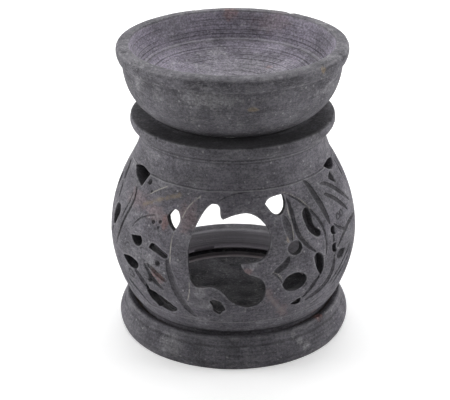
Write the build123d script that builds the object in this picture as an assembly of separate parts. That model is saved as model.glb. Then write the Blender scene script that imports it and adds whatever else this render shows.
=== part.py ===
"""Essential oil burner turned and pierced in soapstone: a base, a pot with a carved belly, the
cement ring that joins them, and a loose bowl. Millimetres, +Z up, origin at the centre of the foot."""

from build123d import *
from math import cos, hypot, radians, sin, tan
import os

# The base: a turned disc with a socket for the pot and a shallow well for the candle
BASE_RADIUS = 39.7
BASE_HEIGHT = 11.2
BASE_SOLE_RADIUS = 38.8
BASE_SHOULDER_RADIUS = 37.9
BASE_SHOULDER_HEIGHT = 8.0
BASE_TOP_RADIUS = 37.2
BASE_TOP_ROUND = 0.7
BASE_LIP_DROP = 0.5
SOCKET_DEPTH = 2.4
CANDLE_WELL_RADIUS = 29.3
CANDLE_WELL_DEPTH = 1.6
CANDLE_WELL_ROUND = 0.6

# The cement ring that fills the joint between the pot and the base
JOINT_GAP = 1.1
CEMENT_CLEARANCE = 0.05
CEMENT_HEIGHT = 1.7
CEMENT_CROWN = 0.3

# The pot below the carving: its spigot, and the dark rebate round the chamber's foot
SPIGOT_RADIUS = 33.8
REBATE_RADIUS = 32.0
REBATE_HEIGHT = 1.4
CHAMBER_FOOT_RADIUS = 29.8
JOINT_GROOVE_HEIGHT = 1.2

# The pot's belly
BELLY_FOOT_RADIUS = 34.9
BELLY_RADIUS = 41.7
BELLY_RISE = 22.1
BELLY_WALL = 5.1
SHOULDER_RISE = 33.3

# The pot's neck, ridge and collar
NECK_RADIUS = 31.05
NECK_HEIGHT = 2.1
MOUTH_RADIUS = 24.9
MOUTH_ROUND = 0.6
THROAT_HEIGHT = 8.0
RIDGE_RADIUS = 31.7
RIDGE_HEIGHT = 1.3
COLLAR_RADIUS = 33.9
COLLAR_FOOT_RADIUS = 32.5
COLLAR_HEIGHT = 5.0
COLLAR_ROUND = 0.4

# The bowl
BOWL_HEIGHT = 26.4
BOWL_FOOT_RADIUS = 12.6
BOWL_WALL_RADIUS = 35.95
BOWL_SEAT_GAP = 0.3
RIM_RADIUS = 37.8
RIM_HEIGHT = 4.8
RIM_WIDTH = 5.6
RIM_ROUND = 1.4
WELL_WALL_DEPTH = 8.7
WELL_WALL_DRAFT = 2.7
WELL_STEP_WIDTH = 0.7
WELL_STEP_DROP = 0.4
WELL_DISH_DEPTH = 6.1

# The carved band round the belly, how deep its channels are cut, how many degrees the piercings fall
# on their way in, and how far round the pot they start to be sawn square on
CARVING_FOOT_RISE = 4.6
CARVING_HEIGHT = 44.8
CHANNEL_DEPTH = 0.9
BROAD_CHANNEL_WIDTH = 2.3
CHANNEL_WIDTH = 1.6
FINE_CHANNEL_WIDTH = 1.0
PIT_RADIUS = 1.0
SCRIBED_LINE_WIDTH = 0.5
SCRIBED_LINE_DEPTH = 0.3
CUT_OVERRUN = 2.0
PIERCING_REACH = 15.0
PIERCING_SLOPE = 22
SQUARE_SAWN_ANGLE = 60

# The doorway at the back, where the candle goes in
DOORWAY_WIDTH = 48.0
DOORWAY_SIDE_HEIGHT = 19.0
DOORWAY_ARCH_HEIGHT = 18.0
DOORWAY_SILL_DROP = 0.6

# Places that follow from those sizes
seat_height = BASE_HEIGHT - SOCKET_DEPTH
socket_radius = SPIGOT_RADIUS + JOINT_GAP
belly_foot_height = BASE_HEIGHT + JOINT_GROOVE_HEIGHT
widest_height = belly_foot_height + BELLY_RISE
neck_foot_height = widest_height + SHOULDER_RISE
ridge_foot_height = neck_foot_height + NECK_HEIGHT
collar_foot_height = ridge_foot_height + RIDGE_HEIGHT
collar_top_height = collar_foot_height + COLLAR_HEIGHT
chamber_foot_height = seat_height + REBATE_HEIGHT
chamber_radius = BELLY_RADIUS - BELLY_WALL
throat_height = collar_top_height - THROAT_HEIGHT
carving_foot_height = belly_foot_height + CARVING_FOOT_RISE
carving_top_height = carving_foot_height + CARVING_HEIGHT

# Where the handles of each cubic curve stand, as shares of the rise and the swelling they bend
BELLY_LOWER_SHARES = ((0.35, 0.11), (1.0, 0.55))
BELLY_UPPER_SHARES = ((0.0, 0.54), (1.0, 0.835))
CHAMBER_LOWER_SHARES = ((0.12, 0.14), (1.0, 0.55))
BOWL_SHARES = ((0.15, 0.0), (1.0, 0.045))
WELL_WALL_SHARES = ((0.0, 0.0), (0.45, 0.45))
WELL_DISH_SHARES = ((0.22, 0.75), (0.6, 1.0))
DOORWAY_ARCH_SHARES = ((0.0, 0.6), (0.45, 1.0))

# How far up the base and the collar stand out the most
BASE_WIDEST_SHARE = 0.35
COLLAR_WIDEST_SHARE = 0.55

# Each piercing is a closed outline of one or more smooth runs that meet at corners. A point is the
# angle round the pot from the front, in degrees, and its height as a share of the carved band. The
# word in front of an outline says how it is repeated on the unseen side of the pot.
FRONT_WINDOW_SHARES = (
    ((-5.9, 0.815), (-6.8, 0.857), (-7.4, 0.9), (-8.4, 0.913)),
    ((-8.4, 0.913), (-11.1, 0.915)),
    ((-11.1, 0.915), (-13.7, 0.886), (-16.8, 0.81), (-19.2, 0.72), (-20.6, 0.625),
     (-20.8, 0.525), (-20.2, 0.424), (-18.9, 0.348), (-17.0, 0.315)),
    ((-17.0, 0.315), (-14.0, 0.317), (-11.2, 0.326), (-8.2, 0.318), (-5.7, 0.29), (-3.4, 0.243),
     (-1.2, 0.203), (1.5, 0.173), (4.5, 0.156), (7.5, 0.154), (10.5, 0.17), (12.8, 0.21),
     (13.9, 0.275), (13.6, 0.335), (12.1, 0.38), (9.8, 0.41), (7.2, 0.424), (5.2, 0.446),
     (3.6, 0.48), (2.7, 0.515)),
    ((2.7, 0.515), (6.4, 0.516), (10.4, 0.524), (13.6, 0.548), (15.6, 0.592), (16.6, 0.647),
     (16.7, 0.703), (15.9, 0.748), (14.0, 0.794), (11.2, 0.83), (8.2, 0.852), (5.0, 0.858),
     (2.0, 0.852), (-1.0, 0.842), (-3.6, 0.828), (-5.9, 0.815)),
)
PIERCING_SHARES = (
    ("once",
     ((16.2, 0.905), (17.6, 0.928), (20.8, 0.943), (24.0, 0.948), (26.6, 0.948)),
     ((26.6, 0.948), (26.9, 0.9), (26.1, 0.862), (24.6, 0.836), (22.3, 0.822), (20.1, 0.834),
      (17.9, 0.868), (16.2, 0.905))),
    ("mirrored",
     ((35.1, 0.765), (35.5, 0.805), (37.3, 0.825), (39.4, 0.82), (40.0, 0.785), (39.8, 0.735),
      (40.6, 0.688), (42.3, 0.662), (43.6, 0.64), (43.3, 0.612), (41.8, 0.606), (39.7, 0.624),
      (37.3, 0.66), (35.8, 0.71), (35.1, 0.765))),
    ("once",
     ((24.5, 0.575), (25.4, 0.612), (28.0, 0.63), (30.8, 0.622), (32.0, 0.588), (31.2, 0.547),
      (28.8, 0.53), (26.2, 0.54), (24.5, 0.575))),
    ("once",
     ((21.7, 0.318), (23.2, 0.362), (26.0, 0.386), (29.4, 0.388), (32.4, 0.366), (34.2, 0.322),
      (33.2, 0.274), (30.2, 0.247), (26.6, 0.244), (23.4, 0.266), (21.7, 0.318))),
    ("mirrored",
     ((38.2, 0.462), (39.6, 0.488), (41.8, 0.485), (43.8, 0.45)),
     ((43.8, 0.45), (44.3, 0.395), (43.9, 0.335), (42.8, 0.3)),
     ((42.8, 0.3), (40.9, 0.34), (39.3, 0.4), (38.2, 0.462))),
    ("once",
     ((27.1, 0.118), (29.8, 0.146), (32.2, 0.158)),
     ((32.2, 0.158), (32.5, 0.13), (31.9, 0.104)),
     ((31.9, 0.104), (29.6, 0.106), (27.1, 0.118))),
    ("mirrored",
     ((50.6, 0.612), (52.0, 0.63), (53.9, 0.62), (53.4, 0.585), (54.2, 0.56), (52.4, 0.566),
      (50.8, 0.585), (50.6, 0.612))),
    ("mirrored",
     ((50.6, 0.492), (53.6, 0.49), (53.3, 0.455), (54.2, 0.432), (52.2, 0.428), (50.5, 0.455),
      (50.6, 0.492))),
    ("mirrored",
     ((62.8, 1.008), (68.0, 1.016), (74.0, 1.014), (79.0, 0.995)),
     ((79.0, 0.995), (75.5, 0.962), (71.0, 0.952)),
     ((71.0, 0.952), (67.0, 0.97), (62.8, 1.008))),
    ("mirrored",
     ((-72.0, 0.988), (-66.0, 1.014), (-60.0, 1.016), (-53.8, 1.0)),
     ((-53.8, 1.0), (-55.6, 0.952), (-56.8, 0.905)),
     ((-56.8, 0.905), (-61.0, 0.92), (-67.0, 0.948), (-72.0, 0.988))),
    ("swung",
     ((-33.8, 0.79), (-32.2, 0.826), (-29.8, 0.846), (-28.2, 0.838)),
     ((-28.2, 0.838), (-26.6, 0.79), (-27.4, 0.74), (-28.9, 0.704)),
     ((-28.9, 0.704), (-31.2, 0.73), (-33.8, 0.79))),
    ("mirrored",
     ((-54.4, 0.565), (-51.4, 0.578), (-47.6, 0.592)),
     ((-47.6, 0.592), (-46.3, 0.556), (-47.4, 0.52), (-50.2, 0.508), (-52.2, 0.522), (-54.4, 0.565))),
    ("swung",
     ((-41.6, 0.535), (-40.2, 0.574), (-36.8, 0.566), (-33.8, 0.545), (-30.9, 0.528)),
     ((-30.9, 0.528), (-31.3, 0.5), (-33.4, 0.494), (-36.2, 0.51), (-39.2, 0.522), (-41.6, 0.535))),
    ("mirrored",
     ((-61.4, 0.36), (-57.0, 0.384), (-51.4, 0.388), (-48.6, 0.366), (-49.6, 0.324), (-53.2, 0.3),
      (-57.2, 0.31), (-61.4, 0.36))),
    ("swung",
     ((-46.2, 0.235), (-43.6, 0.2), (-40.8, 0.178)),
     ((-40.8, 0.178), (-37.6, 0.168), (-35.0, 0.138), (-31.6, 0.11), (-28.0, 0.08)),
     ((-28.0, 0.08), (-29.8, 0.042), (-33.2, 0.03), (-37.0, 0.036), (-40.6, 0.052), (-43.4, 0.09),
      (-45.2, 0.15), (-46.2, 0.235))),
    ("mirrored",
     ((-77.8, 0.6), (-76.2, 0.662), (-73.4, 0.69), (-70.2, 0.69)),
     ((-70.2, 0.69), (-69.0, 0.655), (-70.6, 0.59), (-73.2, 0.53), (-76.0, 0.51), (-77.8, 0.6))),
    ("once",
     ((-10.9, 0.192), (-9.4, 0.215), (-7.0, 0.205), (-5.2, 0.172), (-4.2, 0.133), (-5.4, 0.1),
      (-7.4, 0.085), (-9.1, 0.115), (-10.9, 0.192))),
)
# Pockets have outlines like the piercings but stop at the depth of the channels
POCKET_SHARES = (
    ("mirrored",
     ((62.0, 0.926), (64.4, 0.944), (67.2, 0.952)),
     ((67.2, 0.952), (67.5, 0.91), (68.6, 0.858)),
     ((68.6, 0.858), (66.0, 0.882), (63.8, 0.904), (62.0, 0.926))),
    ("mirrored",
     ((54.6, 0.405), (58.0, 0.412), (62.4, 0.39)),
     ((62.4, 0.39), (60.2, 0.356), (57.0, 0.34), (54.8, 0.36), (54.6, 0.405))),
)
PIT_SHARES = ((-51.2, 0.956), (-41.2, 0.274), (-36.3, 0.436))

# A channel is one stroke of the gouge, given by the points along its middle
BROAD_CHANNEL_SHARES = (
    ("once", ((41.0, 1.0), (43.5, 0.96), (45.1, 0.904), (47.4, 0.826), (48.9, 0.754), (50.1, 0.694),
     (51.0, 0.645))),
    ("once", ((52.0, 0.415), (51.8, 0.365), (51.2, 0.29), (48.8, 0.22), (45.2, 0.172), (39.6, 0.139),
     (34.8, 0.11))),
    ("once", ((24.4, 0.8), (25.6, 0.745), (26.3, 0.69), (26.8, 0.63))),
    ("once", ((25.0, 0.53), (23.3, 0.485), (20.6, 0.451), (17.1, 0.424))),
    ("once", ((-30.3, 0.477), (-29.6, 0.407), (-28.4, 0.33), (-26.9, 0.256), (-24.6, 0.174),
     (-21.8, 0.092), (-18.2, 0.03))),
    ("swung", ((-51.7, 0.3), (-48.6, 0.27), (-45.6, 0.215))),
)
CHANNEL_SHARES = (
    ("once", ((28.2, 0.925), (28.9, 0.872), (29.2, 0.814), (29.7, 0.737), (30.7, 0.669), (33.1, 0.606),
     (36.7, 0.542), (40.0, 0.497))),
    ("once", ((42.6, 0.31), (41.0, 0.281), (38.1, 0.233), (35.4, 0.181), (32.9, 0.148))),
    ("mirrored", ((52.2, 0.931), (56.8, 0.914), (61.3, 0.874), (65.7, 0.823), (70.7, 0.759),
     (77.1, 0.672))),
    ("mirrored", ((52.1, 0.861), (56.8, 0.825), (61.9, 0.766), (66.5, 0.703), (70.4, 0.645))),
    ("mirrored", ((54.5, 0.446), (57.8, 0.491), (62.6, 0.533), (68.9, 0.56), (76.0, 0.555),
     (82.5, 0.53))),
    ("mirrored", ((-86.0, 0.965), (-82.1, 0.938), (-79.7, 0.893), (-78.4, 0.842))),
    ("swung", ((-44.3, 0.404), (-42.0, 0.346), (-39.1, 0.293), (-33.7, 0.224))),
    ("swung", ((-42.7, 0.408), (-39.0, 0.373), (-34.9, 0.334), (-31.5, 0.306))),
)
FINE_CHANNEL_SHARES = (
    ("once", ((27.9, 0.948), (31.7, 0.916), (35.4, 0.876), (38.9, 0.823), (42.2, 0.758), (44.8, 0.684),
     (46.1, 0.614), (46.5, 0.546), (46.3, 0.49), (45.8, 0.434))),
    ("once", ((52.3, 0.58), (52.2, 0.54), (51.9, 0.5))),
    ("once", ((-8.3, 0.93), (-4.6, 0.957), (0.7, 0.98), (6.7, 0.99), (14.2, 0.989))),
    ("once", ((-55.6, 0.591), (-52.8, 0.663), (-49.2, 0.716), (-45.0, 0.751), (-40.5, 0.772),
     (-36.2, 0.773))),
    ("once", ((-89.6, 0.629), (-87.7, 0.544), (-85.8, 0.48))),
    ("mirrored", ((53.4, 0.648), (56.0, 0.605), (60.1, 0.564), (63.7, 0.545), (67.7, 0.552))),
    ("mirrored", ((68.9, 0.417), (65.6, 0.359), (61.1, 0.309), (57.1, 0.253), (53.1, 0.206),
     (50.8, 0.155))),
    ("mirrored", ((70.0, 0.355), (67.0, 0.29), (61.8, 0.24), (57.0, 0.18), (52.5, 0.12))),
    ("mirrored", ((73.0, 0.3), (69.5, 0.22), (64.0, 0.15), (58.0, 0.09))),
    ("mirrored", ((81.0, 0.985), (81.6, 0.884), (82.5, 0.787))),
    ("mirrored", ((-61.9, 0.9), (-59.2, 0.846), (-58.7, 0.777), (-60.5, 0.694), (-63.1, 0.602),
     (-65.9, 0.504), (-69.2, 0.383))),
    ("mirrored", ((-78.5, 0.835), (-76.6, 0.767), (-76.1, 0.71))),
    ("mirrored", ((-76.2, 0.49), (-77.2, 0.45), (-78.1, 0.41))),
    ("mirrored", ((-59.5, 0.16), (-53.9, 0.106), (-50.4, 0.056), (-47.1, 0.013))),
    ("mirrored", ((-63.0, 0.179), (-57.6, 0.13), (-51.8, 0.073), (-48.3, 0.032))),
    ("mirrored", ((-70.7, 0.183), (-66.1, 0.131), (-61.4, 0.077), (-58.4, 0.031))),
)

# The pattern is carried on round the sides: mirrored at one of these angles, or swung by one
RIGHT_MIRROR_ANGLE = 84.0
LEFT_MIRROR_ANGLE = -91.5
SWING_ANGLE = -60.0


def curve_handles(start, end, shares):
    """Four control points of a cubic from start to end, each a radius and a height."""
    across = end[0] - start[0]
    up = end[1] - start[1]
    first, second = [(start[0] + share[0] * across, start[1] + share[1] * up) for share in shares]
    return [start, first, second, end]


def curve_point(handles, t):
    """The point of a cubic curve at t, from 0 to 1."""
    weights = ((1 - t) ** 3, 3 * t * (1 - t) ** 2, 3 * t**2 * (1 - t), t**3)
    return tuple(sum(w * p[axis] for w, p in zip(weights, handles)) for axis in (0, 1))


def curve_where(handles, axis, value):
    """The point of a rising cubic whose radius (axis 0) or height (axis 1) has this value."""
    low, high = 0.0, 1.0
    for _ in range(50):
        middle = (low + high) / 2
        if curve_point(handles, middle)[axis] < value:
            low = middle
        else:
            high = middle
    return curve_point(handles, low)


def belly_curves(inset=0):
    """The lower and the upper curve of the belly's outside, moved in by inset."""
    foot = (BELLY_FOOT_RADIUS - inset, belly_foot_height)
    widest = (BELLY_RADIUS - inset, widest_height)
    neck = (NECK_RADIUS - inset, neck_foot_height)
    return curve_handles(foot, widest, BELLY_LOWER_SHARES), curve_handles(widest, neck, BELLY_UPPER_SHARES)


def belly_radius_at(height):
    """The radius of the belly's outside at a height."""
    lower, upper = belly_curves()
    return curve_where(lower if height < widest_height else upper, 1, height)[0]


def bowl_curve(foot_height):
    """The outside of the bowl from its foot to the underside of its rim."""
    top = (BOWL_WALL_RADIUS, foot_height + BOWL_HEIGHT - RIM_HEIGHT)
    return curve_handles((BOWL_FOOT_RADIUS, foot_height), top, BOWL_SHARES)


def bowl_foot_height():
    """Where the bowl's foot comes when its side rests on the rounded edge of the pot's mouth."""
    contact_radius = MOUTH_RADIUS + MOUTH_ROUND / 2
    contact_height = curve_where(bowl_curve(0), 0, contact_radius)[1]
    return collar_top_height + BOWL_SEAT_GAP - contact_height


def quarter_round(start, end, corner):
    """A quarter circle from start to end that rounds off a square corner."""
    middle = tuple(c + (s + e - 2 * c) * (1 - cos(radians(45))) for s, e, c in zip(start, end, corner))
    return ThreePointArc(start, middle, end)


def turned(*edges):
    """Spins a closed half-section about the pot's axis, from a start line at the back."""
    return Rot(0, 0, 90) * revolve(Plane.XZ * make_face(Curve() + list(edges)), Axis.Z)


def make_base():
    """The disc that the pot stands in."""
    floor = seat_height - CANDLE_WELL_DEPTH
    lip = BASE_TOP_RADIUS - BASE_TOP_ROUND
    well = CANDLE_WELL_RADIUS - CANDLE_WELL_ROUND
    belly = (BASE_RADIUS, BASE_SHOULDER_HEIGHT * BASE_WIDEST_SHARE)
    shoulder = (BASE_SHOULDER_RADIUS, BASE_SHOULDER_HEIGHT)
    side_top = (BASE_TOP_RADIUS, BASE_HEIGHT - BASE_TOP_ROUND)
    socket_edge = (socket_radius, BASE_HEIGHT - BASE_LIP_DROP)
    well_side = (CANDLE_WELL_RADIUS, floor + CANDLE_WELL_ROUND)
    return turned(
        Line((0, 0), (BASE_SOLE_RADIUS, 0)),
        Spline((BASE_SOLE_RADIUS, 0), belly, shoulder),
        Line(shoulder, side_top),
        quarter_round(side_top, (lip, BASE_HEIGHT), (BASE_TOP_RADIUS, BASE_HEIGHT)),
        Line((lip, BASE_HEIGHT), socket_edge),
        Line(socket_edge, (socket_radius, seat_height)),
        Line((socket_radius, seat_height), (CANDLE_WELL_RADIUS, seat_height)),
        Line((CANDLE_WELL_RADIUS, seat_height), well_side),
        quarter_round(well_side, (well, floor), (CANDLE_WELL_RADIUS, floor)),
        Line((well, floor), (0, floor)),
        Line((0, floor), (0, 0)),
    )


def make_cement_ring():
    """The bead of cement in the moat round the pot's spigot, with a rounded top."""
    inner = SPIGOT_RADIUS + CEMENT_CLEARANCE
    outer = socket_radius - CEMENT_CLEARANCE
    foot = seat_height + CEMENT_CLEARANCE
    shoulder = foot + CEMENT_HEIGHT - CEMENT_CROWN
    crown = ((inner + outer) / 2, shoulder + CEMENT_CROWN)
    return turned(
        Line((inner, foot), (outer, foot)),
        Line((outer, foot), (outer, shoulder)),
        ThreePointArc((outer, shoulder), crown, (inner, shoulder)),
        Line((inner, shoulder), (inner, foot)),
    )


def collar_edges(neck):
    """The edges of the neck, ridge, collar and mouth, from the top of the belly to the throat."""
    half_ridge = NECK_RADIUS + (RIDGE_RADIUS - NECK_RADIUS) / 2
    collar_foot = (COLLAR_FOOT_RADIUS, collar_foot_height + COLLAR_ROUND)
    widest = (COLLAR_RADIUS, collar_foot_height + COLLAR_HEIGHT * COLLAR_WIDEST_SHARE)
    collar_shoulder = (COLLAR_RADIUS - COLLAR_ROUND / 2, collar_top_height - COLLAR_ROUND)
    top_edge = (COLLAR_RADIUS - 3 * COLLAR_ROUND / 2, collar_top_height)
    mouth_edge = (MOUTH_RADIUS + MOUTH_ROUND, collar_top_height)
    mouth_wall = (MOUTH_RADIUS, collar_top_height - MOUTH_ROUND)
    ridge = (
        (NECK_RADIUS, ridge_foot_height),
        (RIDGE_RADIUS, ridge_foot_height + RIDGE_HEIGHT / 2),
        (half_ridge, collar_foot_height),
    )
    return [
        Line(neck, ridge[0]),
        ThreePointArc(*ridge),
        Line(ridge[-1], collar_foot),
        Spline(collar_foot, widest, collar_shoulder),
        Line(collar_shoulder, top_edge),
        Line(top_edge, mouth_edge),
        quarter_round(mouth_edge, mouth_wall, (MOUTH_RADIUS, collar_top_height)),
        Line(mouth_wall, (MOUTH_RADIUS, throat_height)),
    ]


def pot_blank():
    """The pot as it comes off the lathe, before any carving."""
    lower, upper = belly_curves()
    chamber_foot = (CHAMBER_FOOT_RADIUS, chamber_foot_height)
    chamber_widest = (chamber_radius, widest_height)
    chamber_lower = curve_handles(chamber_foot, chamber_widest, CHAMBER_LOWER_SHARES)
    chamber_upper = curve_handles(chamber_widest, (MOUTH_RADIUS, throat_height), BELLY_UPPER_SHARES)
    return turned(
        Line((REBATE_RADIUS, seat_height), (SPIGOT_RADIUS, seat_height)),
        Line((SPIGOT_RADIUS, seat_height), (SPIGOT_RADIUS, BASE_HEIGHT)),
        Line((SPIGOT_RADIUS, BASE_HEIGHT), lower[0]),
        Bezier(*lower),
        Bezier(*upper),
        *collar_edges(upper[-1]),
        Bezier(*chamber_upper[::-1]),
        Bezier(*chamber_lower[::-1]),
        Line(chamber_foot, (REBATE_RADIUS, chamber_foot_height)),
        Line((REBATE_RADIUS, chamber_foot_height), (REBATE_RADIUS, seat_height)),
    )


def carving_skin():
    """The layer of stone, as deep as a channel, that the shallow carving is cut in."""
    lower, upper = belly_curves(CHANNEL_DEPTH)
    foot = (BELLY_RADIUS + CUT_OVERRUN, belly_foot_height)
    head = (BELLY_RADIUS + CUT_OVERRUN, neck_foot_height)
    outside = [Line(upper[-1], head), Line(head, foot), Line(foot, lower[0])]
    return turned(Bezier(*lower), Bezier(*upper), *outside)


def scribed_line(height):
    """The ring that cuts a fine line round the belly."""
    radius = belly_radius_at(height)
    half = SCRIBED_LINE_WIDTH / 2
    outside = radius + half
    corners = ((radius - SCRIBED_LINE_DEPTH, height), (outside, height - half), (outside, height + half))
    return turned(Polyline(*corners, close=True))


def upright_plane(angle):
    """The upright plane through the axis that faces outwards at an angle round the pot."""
    turn = radians(angle)
    return Plane(origin=(0, 0, 0), x_dir=(cos(turn), sin(turn), 0), z_dir=(sin(turn), -cos(turn), 0))


def facing_angle(points):
    """The angle half way across some points of the carving."""
    angles = [angle for angle, _ in points]
    return (min(angles) + max(angles)) / 2


def saw_angle(points):
    """The angle a piercing is sawn from: straight ahead near the front, and square on further round."""
    middle = facing_angle(points)
    return middle * min(1, (middle / SQUARE_SAWN_ANGLE) ** 2)


def flattened(point, facing, slope=0):
    """A point of the carving, carried in along the cut to the upright plane where its cutter starts."""
    angle, share = point
    height = carving_foot_height + share * CARVING_HEIGHT
    radius = belly_radius_at(height)
    turn = radians(angle - facing)
    fall = (radius * cos(turn) - PIERCING_REACH) * tan(radians(slope))
    return (radius * sin(turn), height - fall)


def smooth_run(points):
    """A smooth edge through two or more points."""
    return Spline(*points) if len(points) > 2 else Line(*points)


def cutter_of(edges, facing, slope=0):
    """A cutter with this outline, from inside the chamber out past the belly, rising by the slope."""
    out = Vector(sin(radians(facing)), -cos(radians(facing)), 0)
    face = upright_plane(facing) * make_face(Curve() + edges)
    length = (BELLY_RADIUS + CUT_OVERRUN - PIERCING_REACH) / cos(radians(slope))
    way = out + Vector(0, 0, tan(radians(slope)))
    return extrude(face.moved(Location(out * PIERCING_REACH)), length, way)


def outline_cutter(runs, facing, slope=0):
    """The cutter of a closed outline, sawn from an angle round the pot."""
    edges = [smooth_run([flattened(point, facing, slope) for point in run]) for run in runs]
    return cutter_of(edges, facing, slope)


def stroke(points, width, facing):
    """The cutter of a channel that is widest half way along and comes to a point at both ends."""
    middle = [flattened(point, facing) for point in points]
    last = len(middle) - 1
    sides = ([middle[0]], [middle[0]])
    for i in range(1, last):
        along = (middle[i + 1][0] - middle[i - 1][0], middle[i + 1][1] - middle[i - 1][1])
        half = width * (i / last * (1 - i / last)) ** 0.5 / hypot(*along)
        for side, way in zip(sides, (half, -half)):
            side.append((middle[i][0] - along[1] * way, middle[i][1] + along[0] * way))
    for side in sides:
        side.append(middle[-1])
    return cutter_of([smooth_run(sides[0]), smooth_run(sides[1][::-1])], facing)


def pit(point):
    """The cutter of a small round pit."""
    across, height = flattened(point, point[0])
    return cutter_of([Pos(across, height) * CenterArc((0, 0), PIT_RADIUS, 0, 360)], point[0])


def mirrored(points):
    """Points of the carving seen in the upright mirror that stands on their own side of the pot."""
    about = RIGHT_MIRROR_ANGLE if points[0][0] > 0 else LEFT_MIRROR_ANGLE
    return tuple((2 * about - angle, share) for angle, share in points)


def swung(points):
    """Points of the carving moved round the pot."""
    return tuple((angle + SWING_ANGLE, share) for angle, share in points)


def with_repeats(table, angle_of=facing_angle):
    """Each outline of a table with the angle it is cut from, and then its repeat on the unseen side."""
    moves = {"mirrored": mirrored, "swung": swung}
    outlines = []
    for word, *runs in table:
        facing = angle_of([point for run in runs for point in run])
        outlines.append((runs, facing))
        if word in moves:
            move = moves[word]
            [(facing_there, _)] = move([(facing, 0)])
            outlines.append(([move(run) for run in runs], facing_there))
    return outlines


def doorway():
    """The cutter for the arched doorway, square to the back."""
    half = DOORWAY_WIDTH / 2
    sill = carving_foot_height - DOORWAY_SILL_DROP
    spring = sill + DOORWAY_SIDE_HEIGHT
    right = curve_handles((half, spring), (0, spring + DOORWAY_ARCH_HEIGHT), DOORWAY_ARCH_SHARES)
    left = [(-across, height) for across, height in right[::-1]]
    edges = [
        Line((-half, sill), (half, sill)),
        Line((half, sill), right[0]),
        Bezier(*right),
        Bezier(*left),
        Line(left[-1], (-half, sill)),
    ]
    return cutter_of(edges, 180)


def piercings():
    """Every cutter that goes right through the belly."""
    window = outline_cutter(FRONT_WINDOW_SHARES, 0, PIERCING_SLOPE)
    sawn = with_repeats(PIERCING_SHARES, saw_angle)
    return [window, doorway()] + [outline_cutter(runs, facing, PIERCING_SLOPE) for runs, facing in sawn]


def shallow_carving():
    """Every channel, pocket and pit, none deeper than the skin."""
    cutters = [outline_cutter(runs, facing) for runs, facing in with_repeats(POCKET_SHARES)]
    cutters += [pit(point) for point in PIT_SHARES]
    tables = (
        (BROAD_CHANNEL_SHARES, BROAD_CHANNEL_WIDTH),
        (CHANNEL_SHARES, CHANNEL_WIDTH),
        (FINE_CHANNEL_SHARES, FINE_CHANNEL_WIDTH),
    )
    for table, width in tables:
        cutters += [stroke(points, width, facing) for [points], facing in with_repeats(table)]
    skin = carving_skin()
    return [skin & cutter for cutter in cutters]


def make_pot():
    """The pot with its window, its doorway and its pierced carving."""
    lines = [scribed_line(carving_foot_height), scribed_line(carving_top_height)]
    return pot_blank() - lines - shallow_carving() - piercings()


def make_bowl():
    """The loose bowl: a rounded outside, a stepped rim and a shallow dished well."""
    foot = bowl_foot_height()
    outside = bowl_curve(foot)
    top = foot + BOWL_HEIGHT
    lip_radius = RIM_RADIUS - RIM_WIDTH
    floor = (lip_radius - WELL_WALL_DRAFT, top - WELL_WALL_DEPTH)
    dish_edge = (floor[0] - WELL_STEP_WIDTH, floor[1] - WELL_STEP_DROP)
    dish_foot = (0, dish_edge[1] - WELL_DISH_DEPTH)
    rim_foot = (RIM_RADIUS - RIM_ROUND / 2, top - RIM_HEIGHT)
    rim_side = (RIM_RADIUS, top - 3 * RIM_ROUND / 2)
    rim_shoulder = (RIM_RADIUS - RIM_ROUND / 3, top - RIM_ROUND / 3)
    rim_top = (RIM_RADIUS - 4 * RIM_ROUND / 3, top)
    lip = (lip_radius + RIM_ROUND, top)
    return turned(
        Line((0, foot), (BOWL_FOOT_RADIUS, foot)),
        Bezier(*outside),
        Line(outside[-1], rim_foot),
        Spline(rim_foot, rim_side, rim_shoulder, rim_top),
        Line(rim_top, lip),
        Bezier(*curve_handles(lip, floor, WELL_WALL_SHARES)),
        Line(floor, dish_edge),
        Bezier(*curve_handles(dish_edge, dish_foot, WELL_DISH_SHARES)),
        Line(dish_foot, (0, foot)),
    )


def main():
    os.makedirs("parts", exist_ok=True)
    parts = {"base": make_base(), "cement_ring": make_cement_ring(), "pot": make_pot(), "bowl": make_bowl()}
    for name, shape in parts.items():
        export_step(shape, f"parts/{name}.step")
    print("whole height", round(bowl_foot_height() + BOWL_HEIGHT, 2))


main()
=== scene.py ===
# %% [markdown]
# # A pierced soapstone oil burner
# The burner is four pieces of stone and cement: a turned base, a bead of cement, a round pot with a
# carved and pierced belly, and a loose bowl. Everything below dresses that model: every piece is
# worked out again as a surface with worn edges and tool marks, and then gets its stone.

# %% Load the model
import bpy
import numpy as np
from math import pi, radians, tau
from mathutils import Matrix


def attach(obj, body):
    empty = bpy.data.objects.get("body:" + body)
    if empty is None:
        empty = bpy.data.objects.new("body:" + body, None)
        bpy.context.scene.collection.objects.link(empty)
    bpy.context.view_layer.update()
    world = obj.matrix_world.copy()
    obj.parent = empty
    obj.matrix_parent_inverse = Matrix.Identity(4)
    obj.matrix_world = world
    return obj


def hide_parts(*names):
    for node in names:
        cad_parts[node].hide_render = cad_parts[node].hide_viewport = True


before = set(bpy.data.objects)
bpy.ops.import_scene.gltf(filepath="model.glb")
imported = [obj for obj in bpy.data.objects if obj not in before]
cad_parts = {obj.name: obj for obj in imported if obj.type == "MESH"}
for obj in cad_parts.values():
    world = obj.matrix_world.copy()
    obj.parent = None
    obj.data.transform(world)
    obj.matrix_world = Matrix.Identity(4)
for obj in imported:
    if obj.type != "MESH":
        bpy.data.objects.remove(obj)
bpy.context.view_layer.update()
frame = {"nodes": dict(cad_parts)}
scene = bpy.context.scene
print("solids:", ", ".join(frame["nodes"]))

# %% [markdown]
# ## Camera
# The photograph looks down on the burner from the front, about twenty-five degrees below the
# horizontal, with a long lens from arm's length. The camera is placed from the ellipses of the rim,
# the collar and the foot: a turned edge looks rounder the more steeply it is looked down on, so
# three of them fix the height, the distance and the lens.

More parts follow.
